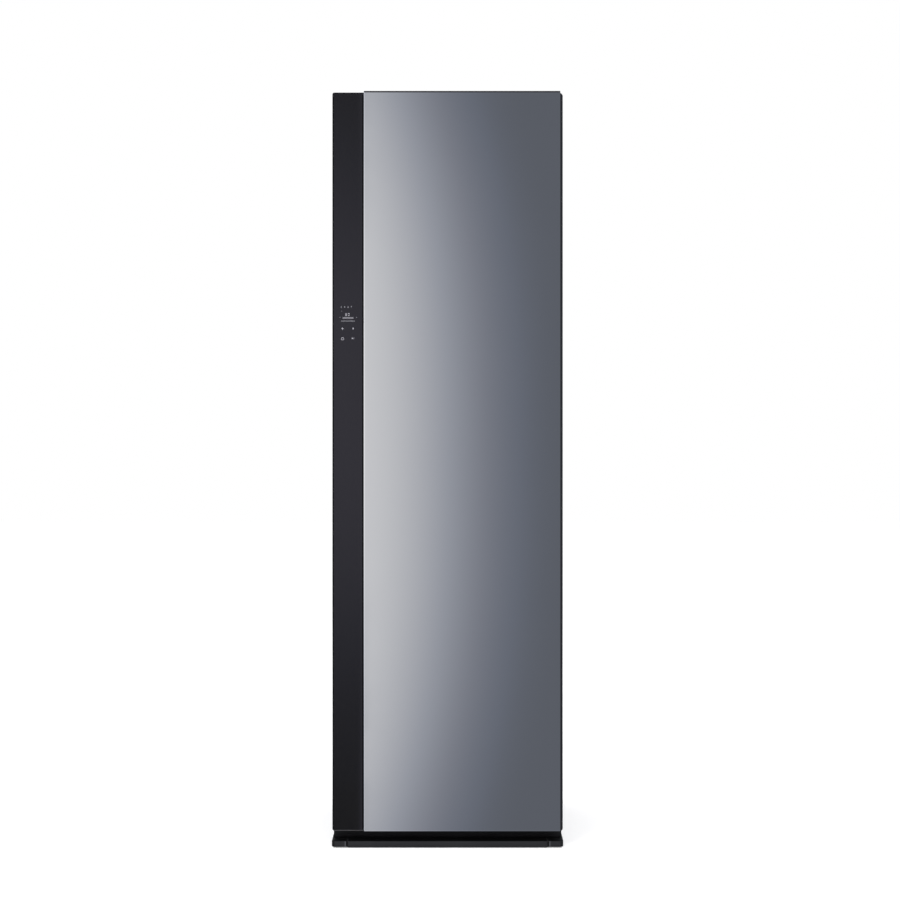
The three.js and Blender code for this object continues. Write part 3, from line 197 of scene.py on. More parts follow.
def grainedFinish(name, values):
    tree, shader = newFinish(name)
    vector = surfaceCoordinates(tree, values["stretch"])
    patches = noiseOf(tree, vector, values["patchScale"], 2.0)
    grain = noiseOf(tree, vector, values["grainScale"], 4.0, 0.6)
    setInputs(shader, {
        "Base Color": tint(tree, spread(tree, patches, 0, 1), values),
        "Roughness": spread(tree, patches, *values["roughness"]),
        "Normal": bumpFrom(tree, grain, values["grainDepth"]), "Metallic": values["metallic"],
        "Specular IOR Level": values["specular"], "Specular Tint": values["specularTint"],
        "Coat Weight": values["coat"], "Coat Roughness": 0.15,
        "Transmission Weight": values["transmission"]})
    if "topShade" in values:  # painted shade: darker on faces that look up
        normal = addNode(tree, "ShaderNodeNewGeometry").outputs["Normal"]
        facing = addNode(tree, "ShaderNodeSeparateXYZ", {"Vector": normal}).outputs
        scaleTone(tree, shader, spread(tree, facing["Z"], 1, values["topShade"], 0.6, 0.95))
        if "sideShade" in values:  # and painted shade where the moulding rounds to its outer side
            turned = compute(tree, "ABSOLUTE", facing["X"])
            scaleTone(tree, shader, spread(tree, turned, 1, values["sideShade"], 0.2, 0.6))
    if "paintedHighlightLine" in values:  # painted highlight: a lighter line, as far left of the middle as right of it
        across = addNode(tree, "ShaderNodeSeparateXYZ", {"Vector": surfaceCoordinates(tree)})
        place, half, gain = values["paintedHighlightLine"]
        inLine = compute(tree, "COMPARE", compute(tree, "ABSOLUTE", across), place, half)
        scaleTone(tree, shader, spread(tree, inLine, 1, gain, 0, 1))


for name, values in grainedValues.items():
    grainedFinish(name, values)

# Mirror glass. Its edges are painted lighter below and left and darker above and right, as painted light and
# shade.
mirrorValues = {"wave": 0.000012, "waveScale": 3.0, "coatingScale": 1.2, "hazeScale": 9.0,
                "roughness": (0.030, 0.045)}
mirrorTones = {
    "tintedMirror": {"tone": (0.590, 0.606, 0.622), "secondTone": (0.600, 0.616, 0.632),
                     "ground": (-0.9, 0, -0.9)},
    # a brighter mirror tone, for painted highlight lines on the mirror's edges
    "polishedEdge": {"tone": (0.780, 0.796, 0.812), "secondTone": (0.800, 0.816, 0.832),
                     "ground": (0, 0, 0)},
}


def mirrorFinish(name, values):
    tree, shader = newFinish(name)
    vector = surfaceCoordinates(tree)
    coating = noiseOf(tree, vector, values["coatingScale"], 2.0)
    setInputs(shader, {
        "Metallic": 1.0, "Base Color": tint(tree, spread(tree, coating, 0, 1), values),
        "Roughness": spread(tree, noiseOf(tree, vector, values["hazeScale"], 3.0), *values["roughness"]),
        "Normal": bumpFrom(tree, noiseOf(tree, vector, values["waveScale"], 1.0), values["wave"])})
    # painted light and shade on the edges, by the way each face turns
    facing = addNode(tree, "ShaderNodeTexCoord").outputs["Normal"]
    lean = addNode(tree, "ShaderNodeVectorMath", {0: facing, 1: values["ground"]}, operation="DOT_PRODUCT")
    scaleTone(tree, shader, compute(tree, "ADD", lean.outputs["Value"], 1.0))


for name, tones in mirrorTones.items():
    mirrorFinish(name, {**mirrorValues, **tones})

# Zinc coated sheet: crystals of slightly different brightness, with a rolled grain.
zincValues = {"crystal": 150, "tone": (0.44, 0.45, 0.46), "secondTone": (0.54, 0.55, 0.56),
              "roughness": (0.36, 0.48), "warp": 0.02, "warpScale": 25.0, "rolled": 0.00003,
              "rolledScale": 600.0}


def zincFinish(values):
    tree, shader = newFinish("zincSheet")
    vector = surfaceCoordinates(tree)
    bent = addNode(tree, "ShaderNodeMix",
                   {"Factor": values["warp"], 4: vector, 5: noiseOf(tree, vector, values["warpScale"], 2.0)},
                   data_type="VECTOR").outputs[1]
    crystals = addNode(tree, "ShaderNodeTexVoronoi", {"Vector": bent, "Scale": values["crystal"]})
    cellTone = addNode(tree, "ShaderNodeSeparateColor", {"Color": crystals.outputs["Color"]})
    rolled = noiseOf(tree, surfaceCoordinates(tree, (1, 1, 0.05)), values["rolledScale"], 2.0)
    setInputs(shader, {"Metallic": 0.6, "Base Color": tint(tree, cellTone, values),
                       "Roughness": spread(tree, cellTone, *values["roughness"], 0, 1),
                       "Normal": bumpFrom(tree, rolled, values["rolled"])})


zincFinish(zincValues)


def waveOf(tree, direction, inputs):
    return addNode(tree, "ShaderNodeTexWave", inputs, wave_type="BANDS",
                   bands_direction=direction).outputs["Fac"]


# Pad cover: a plain weave of two crossing threads, with slubs and a soft sheen.
weaveValues = {"threads": 520, "tone": (0.20, 0.205, 0.215), "secondTone": (0.34, 0.345, 0.355),
               "depth": 0.00025, "slub": 0.6, "slubScale": 90.0, "sheen": 0.35}


def weaveFinish(values):
    tree, shader = newFinish("padWeave")
    vector = surfaceCoordinates(tree)
    threads = [waveOf(tree, direction, {
        "Vector": vector, "Scale": values["threads"] / (2 * math.pi), "Distortion": 1.2, "Detail": 1.0,
        "Detail Scale": 2.0}) for direction in ("X", "Z")]
    woven = compute(tree, "MULTIPLY", *threads)
    slubs = noiseOf(tree, vector, values["slubScale"], 2.0)
    mottle = compute(tree, "MULTIPLY_ADD", slubs, values["slub"], woven)
    setInputs(shader, {"Base Color": tint(tree, spread(tree, mottle, 0, 1, 0.1, 1.2), values),
                       "Normal": bumpFrom(tree, woven, values["depth"]), "Roughness": 0.92,
                       "Sheen Weight": values["sheen"], "Sheen Roughness": 0.5})


weaveFinish(weaveValues)

# Fin stock of the heat exchanger: thin bright lines across X.
finValues = {"pitch": 0.0018, "perPitch": 0.05, "tone": (0.30, 0.31, 0.32),
             "secondTone": (0.66, 0.67, 0.68), "depth": 0.0003, "dirtScale": 30.0, "roughness": (0.3, 0.5)}


def finFinish(values):
    tree, shader = newFinish("finStock")
    vector = surfaceCoordinates(tree)
    wave = waveOf(tree, "X", {"Vector": vector, "Scale": values["perPitch"] / values["pitch"]})
    dirt = noiseOf(tree, vector, values["dirtScale"], 3.0)
    setInputs(shader, {"Metallic": 1.0, "Base Color": tint(tree, wave, values),
                       "Roughness": spread(tree, dirt, *values["roughness"]),
                       "Normal": bumpFrom(tree, wave, values["depth"])})


finFinish(finValues)

# Lit surfaces: the opal lamp lens, and the marks that shine through the touch strip.
glowValues = {
    "lampLens": {"tone": (0.90, 0.90, 0.87), "shine": (1.0, 0.97, 0.90), "power": 1.5, "roughness": 0.4},
    "displayBright": {"tone": (0.24, 0.235, 0.255), "shine": (0.88, 0.86, 1.0), "power": 0.22,
                      "roughness": 0.3},
    "displayDim": {"tone": (0.12, 0.118, 0.13), "shine": (0.88, 0.86, 1.0), "power": 0.12,
                   "roughness": 0.3},
}


def glowFinish(name, values):
    tree, shader = newFinish(name)
    uneven = noiseOf(tree, surfaceCoordinates(tree), 120.0, 2.0)
    tones = {"tone": values["tone"], "secondTone": [part * 0.9 for part in values["tone"]]}
    setInputs(shader, {"Base Color": tint(tree, spread(tree, uneven, 0, 1), tones),
                       "Roughness": values["roughness"], "Emission Color": values["shine"],
                       "Emission Strength": values["power"]})


for name, values in glowValues.items():
    glowFinish(name, values)
print("finishes ready:", len(finish))

# The finish of each node of the frame.
nodeFinish = {
    "tintedMirror": "mirror_panel",
    "touchGlass": "control_strip",
    "trimSteel": "door_trim",
    "doorShell": "door_frame",
    "sidePaint": "side_panel_left side_panel_right top_panel",
    "shadedRecessMoulding": "kick_plate",
    "darkMoulding": "front_frame hinge_cover press_hinge_strip press_latch trouser_clip lint_filter "
                    "duct_housing fan_impeller power_inlet supply_tank_handle drain_tank_handle",
    "baseMoulding": "base_tray base_front_bar",
    "cornerMoulding": "base_corner_left base_corner_right",
    "linerMoulding": "case_wall_left case_wall_right case_back case_ceiling shelf_support cavity_floor "
                     "tank_bay door_liner shelf",
    "smokeMoulding": "supply_tank_lid drain_tank_lid supply_tank_cap drain_tank_cap aroma_cartridge "
                     "steam_nozzle press_panel",
    "tankMoulding": "supply_tank drain_tank",
    "rubberMoulding": "door_gasket foot_front_left foot_front_right",
    "zincSheet": "rear_panel hinge_bracket_top hinge_bracket_bottom hanger_guide steam_generator",
    "finStock": "heat_exchanger",
    "blackEnamel": "compressor fan_motor hanger_motor drive_crank",
    "barSteel": "hanger_bar trouser_rail",
    "padWeave": "press_pad",
    "boardMoulding": "pump_pair control_box",
    "lampLens": "interior_light",
}
finishOfNode = {nodeName: name for name, listed in nodeFinish.items() for nodeName in listed.split()}
for nodeName, name in finishOfNode.items():
    slots = nodes[nodeName].material_slots
    if len(slots):
        slots[0].material = finish[name]
    else:
        nodes[nodeName].data.materials.append(finish[name])
print("nodes finished:", len(finishOfNode), "left:", sorted(set(nodes) - set(finishOfNode)))
slotOfNode = {row["node"]: row["material_slot"] for row in frame["record"]["subparts"]}


# Mesh helpers. x, y and z are pairs, from and to.
def span(half, middle=0.0):
    return middle - half, middle + half


def addBlock(bm, x, y, z, bevel=0.0, segments=2):
    matrix = Matrix.Translation(((x[0] + x[1]) / 2, (y[0] + y[1]) / 2, (z[0] + z[1]) / 2))
    matrix @= Matrix.Diagonal((x[1] - x[0], y[1] - y[0], z[1] - z[0], 1))
    made = bmesh.ops.create_cube(bm, size=1, matrix=matrix)["verts"]
    if bevel:
        edges = list({edge for vert in made for edge in vert.link_edges})
        bmesh.ops.bevel(bm, geom=edges, offset=bevel, segments=segments, affect="EDGES", profile=0.5)


def addRod(bm, radius, start, end, sides=24, endRadius=None):
    start, end = Vector(start), Vector(end)
    turn = (end - start).to_track_quat("Z", "Y").to_matrix().to_4x4()
    bmesh.ops.create_cone(bm, cap_ends=True, segments=sides, radius1=radius,
                          radius2=radius if endRadius is None else endRadius, depth=(end - start).length,
                          matrix=Matrix.Translation((start + end) / 2) @ turn)


def joinRings(bm, first, second):
    for index in range(len(first)):
        after = (index + 1) % len(first)
        bm.faces.new((first[index], first[after], second[after], second[index]))


def closeRings(bm, rings):
    joinRings(bm, *rings)
    bm.faces.new(rings[0])
    bm.faces.new(list(reversed(rings[1])))


def addPrism(bm, outline, y):  # outline of (x, z) points, pushed along Y
    closeRings(bm, [[bm.verts.new((x, depth, z)) for x, z in outline] for depth in y])


def addBand(bm, outer, inner, y):  # the strip between two outlines, pushed along Y
    rows = [[bm.verts.new((x, depth, z)) for x, z in line] for line in (outer, inner) for depth in y]
    for first, second in ((0, 1), (1, 3), (3, 2), (2, 0)):
        joinRings(bm, rows[first], rows[second])


def flatLoop(x, z, radius, steps=6):  # a rectangle with round corners, as (x, z) points
    points = []
    left, right, low, high = x[0] + radius, x[1] - radius, z[0] + radius, z[1] - radius
    for middleX, middleZ, start in ((right, low, -90), (right, high, 0), (left, high, 90), (left, low, 180)):
        for step in range(steps + 1):
            angle = math.radians(start + 90 * step / steps)
            points.append((middleX + radius * math.cos(angle), middleZ + radius * math.sin(angle)))
    return points


def roundedLoop(x, z, radius, y, steps=6):
    return [(across, y, up) for across, up in flatLoop(x, z, radius, steps)]


def insetLoop(low, high, inset, radius, y, steps=6):  # round a box, at a distance inside its edge
    return roundedLoop((low.x + inset, high.x - inset), (low.z + inset, high.z - inset), radius, y, steps)


def frameBand(bm, x, z, radius, width, y):
    addBand(bm, flatLoop(x, z, radius),
            flatLoop((x[0] + width, x[1] - width), (z[0] + width, z[1] - width), radius - width), y)


def meshFrom(bm, name, outward=True):
    if outward:
        bmesh.ops.recalc_face_normals(bm, faces=bm.faces)
    mesh = bpy.data.meshes.new(name)
    bm.to_mesh(mesh)
    bm.free()
    return mesh


def placePiece(name, mesh, body, finishName, slot=None, stands=(), smooth=30):
    mesh.materials.clear()
    mesh.materials.append(finish[finishName])
    mesh.shade_smooth()
    mesh.set_sharp_from_angle(angle=math.radians(smooth))
    piece = bpy.data.objects.new(name, mesh)
    scene.collection.objects.link(piece)
    if stands:
        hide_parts(*stands)
    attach(piece, body)
    return piece


def addPiece(name, bm, *placing):
    return placePiece(name, meshFrom(bm, name), *placing)


def mergedNode(nodeName):
    bm = bmesh.new()
    bm.from_mesh(nodes[nodeName].data)
    bmesh.ops.remove_doubles(bm, verts=bm.verts, dist=0.00002)
    return bm


def joinFlatFaces(bm):
    bmesh.ops.dissolve_limit(bm, angle_limit=math.radians(1), verts=bm.verts, edges=bm.edges)


# A rounded copy of a CAD node: doubles merged, flat faces joined, then its edges eased.
def easedNode(nodeName, body, width):
    bm = mergedNode(nodeName)
    joinFlatFaces(bm)
    sharp = [edge for edge in bm.edges
             if len(edge.link_faces) == 2 and edge.calc_face_angle(0) > math.radians(35)]
    bmesh.ops.bevel(bm, geom=sharp, offset=width, segments=2, affect="EDGES", profile=0.5,
                    clamp_overlap=True)
    first, *others = nodeName.split("_")
    name = first + "".join(part.capitalize() for part in others)
    placePiece(name, meshFrom(bm, name, False), body, finishOfNode[nodeName], slotOfNode[nodeName],
               (nodeName,), 40)


# Geometry Nodes trees for what repeats. Each takes a unit, a finish and its own sizes.
def newTree(name, sizes):
    tree = bpy.data.node_groups.new(name, "GeometryNodeTree")
    wanted = {"Geometry": "Geometry", "Unit": "Object", "Finish": "Material", **sizes}
    for label, kind in wanted.items():
        tree.interface.new_socket(label, in_out="INPUT", socket_type="NodeSocket" + kind)
    tree.interface.new_socket("Geometry", in_out="OUTPUT", socket_type="NodeSocketGeometry")
    return tree, addNode(tree, "NodeGroupInput").outputs


def unitOf(tree, given):
    return addNode(tree, "GeometryNodeObjectInfo", {"Object": given["Unit"]}).outputs["Geometry"]


def closeTree(tree, given, geometry):
    realised = addNode(tree, "GeometryNodeRealizeInstances", {"Geometry": geometry})
    painted = addNode(tree, "GeometryNodeSetMaterial", {"Geometry": realised, "Material": given["Finish"]})
    addNode(tree, "NodeGroupOutput", {"Geometry": painted})
    return tree


def unitsOnPoints(tree, given, points, turn):
    return addNode(tree, "GeometryNodeInstanceOnPoints",
                   {"Points": points, "Instance": unitOf(tree, given), "Rotation": turn})


# Rows and columns of one unit on a flat rectangle.
def buildGridTree():
    tree, given = newTree("unitGrid", {"Columns": "Int", "Rows": "Int", "Width": "Float", "Height": "Float",
                                       "Place": "Vector", "Turn": "Vector"})
    grid = addNode(tree, "GeometryNodeMeshGrid", {
        "Size X": given["Width"], "Size Y": given["Height"], "Vertices X": given["Columns"],
        "Vertices Y": given["Rows"]})
    turn = addNode(tree, "FunctionNodeEulerToRotation", {"Euler": given["Turn"]})
    moved = addNode(tree, "GeometryNodeTransform",
                    {"Geometry": grid, "Translation": given["Place"], "Rotation": turn})
    return closeTree(tree, given, unitsOnPoints(tree, given, moved, turn))


# One unit after another along the edges of the object the tree sits on.
def buildPathTree():
    tree, given = newTree("unitPath", {"Pitch": "Float"})
    curve = addNode(tree, "GeometryNodeMeshToCurve", {"Mesh": given["Geometry"]})
    stops = addNode(tree, "GeometryNodeResampleCurve", {"Curve": curve, "Length": given["Pitch"]},
                    mode="LENGTH")
    turn = addNode(tree, "FunctionNodeAlignRotationToVector",
                   {"Vector": addNode(tree, "GeometryNodeInputTangent")}, axis="X", pivot_axis="Y")
    return closeTree(tree, given, unitsOnPoints(tree, given, stops, turn))


# A closed section carried along the edges of the object the tree sits on, which lie in XZ.
def buildSweepTree():
    tree, given = newTree("sweptSection", {})
    curve = addNode(tree, "GeometryNodeMeshToCurve", {"Mesh": given["Geometry"]})
    facing = addNode(tree, "GeometryNodeSetCurveNormal", {"Curve": curve, "Normal": (0, 1, 0)}, mode="FREE")
    section = addNode(tree, "GeometryNodeMeshToCurve", {"Mesh": unitOf(tree, given)})
    swept = addNode(tree, "GeometryNodeCurveToMesh", {"Curve": facing, "Profile Curve": section})
    return closeTree(tree, given, swept)


gridTree = buildGridTree()
pathTree = buildPathTree()
sweepTree = buildSweepTree()


# Runs a tree once and keeps its result as a plain mesh in the frame.
def repeatUnit(name, tree, build, body, finishName, slot, sizes, path=None, smooth=30, stands=()):
    bm = bmesh.new()
    build(bm)
    unit = bpy.data.objects.new("unit", meshFrom(bm, "unit"))
    mesh = bpy.data.meshes.new(name + "Path")
    if path:
        count = len(path)
        mesh.from_pydata(path, [(index, (index + 1) % count) for index in range(count)], [])
    carrier = bpy.data.objects.new(name + "Carrier", mesh)
    for helper in (unit, carrier):
        scene.collection.objects.link(helper)
    modifier = carrier.modifiers.new("repeat", "NODES")
    modifier.node_group = tree
    chosen = {"Unit": unit, "Finish": finish[finishName], **sizes}
    for item in tree.interface.items_tree:
        if item.item_type == "SOCKET" and item.in_out == "INPUT" and item.name in chosen:
            modifier[item.identifier] = chosen[item.name]
    graph = bpy.context.evaluated_depsgraph_get()
    result = bpy.data.meshes.new_from_object(carrier.evaluated_get(graph))
    carrier.modifiers.clear()
    bpy.data.objects.remove(carrier)
    bpy.data.objects.remove(unit)
    bm = bmesh.new()
    bm.from_mesh(result)
    bpy.data.meshes.remove(result)
    placePiece(name, meshFrom(bm, name), body, finishName, slot, stands, smooth)


def repeatGrid(name, build, body, finishName, slot, counts, size, place, turn=(0, 0, 0)):
    repeatUnit(name, gridTree, build, body, finishName, slot, {
        "Columns": counts[0], "Rows": counts[1], "Width": float(size[0]), "Height": float(size[1]),
        "Place": place, "Turn": turn})


def blockOf(*sizes):
    return lambda bm: addBlock(bm, *sizes)


def rodOf(radius, end, sides):  # the origin is at its middle
    return lambda bm: addRod(bm, radius, -Vector(end), end, sides)


def sectionOf(points):  # a closed line of edges
    def build(bm):
        verts = [bm.verts.new((x, y, 0)) for x, y in points]
        for index, vert in enumerate(verts):
            bm.edges.new((vert, verts[(index + 1) % len(verts)]))
    return build


def corners(x, z):
    return (x[0], z[0]), (x[1], z[0]), (x[1], z[1]), (x[0], z[1])


# Small lit marks on the glass, in millimetres: four status lamps, two plain digits with a bar
# under them, an arrow on each side, and four touch keys below. A mark is its middle and its
# outline, dashes are from, to, middle, height, count and the share that is filled.
markValues = {
    "rise": 0.04, "seat": 0.2,
    "digits": ((3, -263.6), (0, -256.2)),
    "digit": {"z": 1380.6, "width": 4.0, "height": 6.6, "bar": 1.0, "gap": 0.15},
    "brightDashes": (-271.6, -243.0, 1371.9, 4.4, 11, 0.38),
    "dimDashes": (-275.6, -239.8, 1363.8, 2.6, 15, 0.55),
    "lamps": ((-275.7, 1400.2, corners((-0.7, 0.7), (-2.5, 2.5))),
              (-266.7, 1400.2, ((0, -2.5), (1.6, 0), (0, 2.5), (-1.6, 0))),
              (-257.9, 1400.2, ((-1.3, -2.5), (1.3, -2.5), (0.4, 2.5), (-0.4, 2.5))),
              (-249.5, 1400.2, ((-1.2, 2.5), (0, -2.5), (1.2, 2.5)))),
    "sides": ((-274.4, 1389.7, corners((-0.8, 0.8), (-0.7, 0.7))),
              (-279.2, 1373.2, ((0.9, -1.6), (-1.1, 0), (0.9, 1.6))),
              (-235.8, 1373.2, ((-0.9, -1.6), (1.1, 0), (-0.9, 1.6)))),
    "keys": ((-272.3, 1344.0, corners((-2.6, 2.6), (-0.6, 0.6))),  # a plus of three bars
             (-272.3, 1344.0, corners((-0.6, 0.6), (0.6, 3.0))),
             (-272.3, 1344.0, corners((-0.6, 0.6), (-3.0, -0.6))),
             (-244.8, 1344.0, ((-1.9, 2.2), (0, -3.2), (1.9, 2.2))),
             (-244.8, 1318.9, ((-3.2, -2.4), (0.4, 0), (-3.2, 2.4))),  # start and pause
             (-244.8, 1318.9, corners((1.4, 2.0), (-2.2, 2.2)))),
    "ring": (-272.3, 1317.9, 3.7, 1.0),
}
segmentsOfDigit = {0: "abcdef", 3: "abgcd"}


def addMarks(bm, marks, y):
    for x, z, outline in marks:
        addPrism(bm, [((x + across) * mm, (z + up) * mm) for across, up in outline], y)


def addDashes(bm, dashes, y):
    low, high, z, height, count, fill = dashes
    pitch = (high - low) / count
    addMarks(bm, [(low + index * pitch, z, corners((0, pitch * fill), span(height / 2)))
                  for index in range(count)], y)


def addRing(bm, x, z, radius, width, y, count=28):
    angles = [math.radians(360 * index / count) for index in range(count)]
    addBand(bm, *([((x + r * math.cos(a)) * mm, (z + r * math.sin(a)) * mm) for a in angles]
                  for r in (radius, radius - width)), y)


def addDigit(bm, digit, x, values, y):
    halfW, halfH, bar, gap = values["width"] / 2, values["height"] / 2, values["bar"], values["gap"]
    across, left, right = span(halfW - gap), (-halfW, bar - halfW), (halfW - bar, halfW)
    upper, lower = (bar / 2 + gap, halfH - bar - gap), (bar + gap - halfH, -bar / 2 - gap)
    bars = {"a": (across, (halfH - bar, halfH)), "g": (across, span(bar / 2)),
            "d": (across, (-halfH, bar - halfH)), "b": (right, upper), "c": (right, lower),
            "e": (left, lower), "f": (left, upper)}
    addMarks(bm, [(x, values["z"], corners(*bars[segment])) for segment in segmentsOfDigit[digit]], y)


def makeDisplay(values):
    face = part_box("control_strip")[0].y
    y = (face - values["rise"] * mm, face + values["seat"] * mm)
    bright, dim, keys = bmesh.new(), bmesh.new(), bmesh.new()
    for digit, x in values["digits"]:
        addDigit(bright, digit, x, values["digit"], y)
    addDashes(bright, values["brightDashes"], y)
    addPiece("displayDigits", bright, "door", "displayBright")
    addMarks(dim, values["lamps"], y)
    addDashes(dim, values["dimDashes"], y)
    addMarks(dim, values["sides"], y)
    addPiece("displayMarks", dim, "door", "displayDim")
    addMarks(keys, values["keys"], y)
    addRing(keys, *values["ring"], y)
    addPiece("touchKeys", keys, "door", "displayBright")


makeDisplay(markValues)
print("display marks made")

# Width of the eased edges, by body and node.
easedEdges = {
    "cabinet": {"base_front_bar": 0.0018, "base_corner_left": 0.0012, "base_corner_right": 0.0012,
                "hinge_cover": 0.0016, "steam_nozzle": 0.0012, "kick_plate": 0.0006,
                "interior_light": 0.0012, "shelf_support": 0.0012},
    "door": {"door_trim": 0.0003, "press_hinge_strip": 0.0012},
    "press": {"press_panel": 0.0016},
    "press_latch": {"press_latch": 0.001},
    "trouser_clip": {"trouser_clip": 0.001},
    "supply_tank": {"supply_tank_lid": 0.001},
    "supply_handle": {"supply_tank_handle": 0.001},
    "supply_cap": {"supply_tank_cap": 0.0008},
    "drain_tank": {"drain_tank_lid": 0.001},
    "drain_handle": {"drain_tank_handle": 0.001},
    "drain_cap": {"drain_tank_cap": 0.0008},
    "lint_filter": {"lint_filter": 0.0006},
    "aroma_cartridge": {"aroma_cartridge": 0.001},
}
for body, widths in easedEdges.items():
    for nodeName, width in widths.items():
        easedNode(nodeName, body, width)
print("edges eased")

# The liner is cut in two: a light sheet, and round it the dark lip of the door shell.
linerEdgeValues = {"lip": 0.009, "ease": 0.0012}


def cutNode(nodeName, planes, ease=0.0):
    bm = mergedNode(nodeName)
    for place, outward in planes:
        everything = bm.verts[:] + bm.edges[:] + bm.faces[:]
        bmesh.ops.bisect_plane(bm, geom=everything, plane_co=place, plane_no=outward, clear_outer=True,
                               dist=0.00001)
        bmesh.ops.holes_fill(bm, edges=[edge for edge in bm.edges if edge.is_boundary])
    joinFlatFaces(bm)
    if ease:
        bmesh.ops.bevel(bm, geom=bm.edges[:], offset=ease, segments=3, affect="EDGES", profile=0.5)
    return meshFrom(bm, "cut", False)


def makeLinerEdge(values):
    low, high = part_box("door_liner")
    lip = values["lip"]
    left, right = Vector((low.x + lip, 0, 0)), Vector((high.x - lip, 0, 0))
    bottom, top = Vector((0, 0, low.z + lip)), Vector((0, 0, high.z - lip))
    xAxis, zAxis = Vector((1, 0, 0)), Vector((0, 0, 1))
    within = ((left, -xAxis), (right, xAxis))
    sheet = cutNode("door_liner", (*within, (bottom, -zAxis), (top, zAxis)), values["ease"])
    placePiece("doorLiner", sheet, "door", "linerMoulding", "liner_plastic", ("door_liner",))
    bm = bmesh.new()
    sides = ((left, xAxis),), ((right, -xAxis),), (*within, (top, -zAxis)), (*within, (bottom, zAxis))
    for planes in sides:
        bm.from_mesh(cutNode("door_liner", planes))
    addPiece("linerLip", bm, "door", "doorShell", "dark_plastic")


makeLinerEdge(linerEdgeValues)

# A bellows seal with a magnet bead, swept round the door liner. The profile is in millimetres,
# from the middle of the strip and from the liner.
gasketValues = {
    "profile": ((-6.8, 0.0), (6.8, 0.0), (6.8, 1.4), (4.4, 2.2), (5.6, 3.8), (3.6, 4.8), (5.4, 6.2),
                (5.4, 8.8), (4.4, 9.4), (-4.4, 9.4), (-5.4, 8.8), (-5.4, 6.2), (-3.6, 4.8), (-5.6, 3.8),
                (-4.4, 2.2), (-6.8, 1.4)),
    "half": 0.007, "radius": 0.0105, "cornerSteps": 8,
}


def makeGasket(values):
    low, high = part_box("door_gasket")
    path = insetLoop(low, high, values["half"], values["radius"], low.y, values["cornerSteps"])
    section = sectionOf([(rise * mm, offset * mm) for offset, rise in values["profile"]])
    repeatUnit("doorGasket", sweepTree, section, "door", "rubberMoulding", "rubber", {}, path, 50,
               ("door_gasket",))


makeGasket(gasketValues)
print("gasket made")

# Trouser press pad: firm foam in a woven cover, with a crowned face, drawn-in sides and two
# sewn channels.
padValues = {"columns": 84, "rows": 200, "inset": 0.001, "edge": 0.0065, "crown": 0.0044, "rim": 0.014,
             "waist": 0.0022, "channelX": (-0.118, 0.118), "channelWidth": 0.0062, "channelDepth": 0.0034,
             "under": 0.0004}


def makePad(values):
    low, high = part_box("press_pad")
    bm = bmesh.new()
    thickness = high.y - low.y
    middleX, middleZ = (low.x + high.x) / 2, (low.z + high.z) / 2
    halfX, halfZ = (high.x - low.x) / 2 - values["inset"], (high.z - low.z) / 2 - values["inset"]
    columns, rows = values["columns"], values["rows"]

    def place(u, v, y):  # u and v run from -1 to 1
        pullX = 1 - values["waist"] / halfX * (1 - v ** 4)
        pullZ = 1 - values["waist"] / halfZ * (1 - u ** 4)
        return bm.verts.new((middleX + halfX * u * pullX, y, middleZ + halfZ * v * pullZ))

    def height(u, v):
        edge = min((1 - abs(u)) * halfX, (1 - abs(v)) * halfZ)
        rim = min(1.0, edge / values["rim"])
        rise = values["edge"] + values["crown"] * math.sqrt(max(0.0, 1 - (1 - rim) ** 2))
        for channel in values["channelX"]:
            away = (u * halfX - channel) / values["channelWidth"]
            rise -= values["channelDepth"] * math.exp(-away * away) * rim
        return min(rise, thickness - values["under"])

    def spaced(count):  # closer together near the ends
        return [math.sin(math.pi * (index / count - 0.5)) * 0.35 + (2 * index / count - 1) * 0.65
                for index in range(count + 1)]

    acrossX, acrossZ = spaced(columns), spaced(rows)
    front = [[place(u, v, low.y + height(u, v)) for u in acrossX] for v in acrossZ]
    back = [[place(u, v, low.y) for u in acrossX] for v in acrossZ]
    for row in range(rows):
        for column in range(columns):
            quad = ((row, column), (row, column + 1), (row + 1, column + 1), (row + 1, column))
            bm.faces.new([front[r][c] for r, c in quad])
            bm.faces.new([back[r][c] for r, c in reversed(quad)])
    border = [(0, c) for c in range(columns)] + [(r, columns) for r in range(rows)]
    border += [(rows, c) for c in range(columns, 0, -1)] + [(r, 0) for r in range(rows, 0, -1)]
    joinRings(bm, *([side[r][c] for r, c in border] for side in (front, back)))
    pad = addPiece("pressPad", bm, "door", "padWeave", "pad_fabric", ("press_pad",), 60)


makePad(padValues)

# Stitches along the pad's edge, and a piping round it.
stitchValues = {"pitch": 0.0062, "length": 0.0038, "radius": 0.00050, "inset": 0.0085, "depth": 0.0105,
                "corner": 0.006, "piping": 0.0019, "pipingInset": 0.0022, "pipingDepth": 0.0064,
                "pipingCorner": 0.004}


def makeStitches(values):
    low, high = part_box("press_pad")
    path = insetLoop(low, high, values["inset"], values["corner"], low.y + values["depth"])
    repeatUnit("padStitches", pathTree, rodOf(values["radius"], (values["length"] / 2, 0, 0), 6), "door",
               "darkMoulding", "pad_fabric", {"Pitch": values["pitch"]}, path)
    radius, turns = values["piping"], [math.radians(45 * index) for index in range(8)]
    cord = sectionOf([(radius * math.cos(turn), radius * math.sin(turn)) for turn in turns])
    edge = insetLoop(low, high, values["pipingInset"], values["pipingCorner"], low.y + values["pipingDepth"])
    repeatUnit("padPiping", sweepTree, cord, "door", "padWeave", "pad_fabric", {}, edge, 60)


makeStitches(stitchValues)
print("press pad made")

# Raised slats on the outside of the press panel, and felt on its inside.
pressValues = {"rim": 0.012, "latchSide": 0.02, "gap": 0.007, "thick": 0.016, "columns": 9, "inset": 0.026,
               "half": 0.006, "seat": 0.0006, "rise": 0.0016, "ease": 0.0012, "feltRise": 0.0022,
               "feltSeat": 0.0008, "feltInset": 0.008, "feltSide": 0.03, "feltEase": 0.0009}


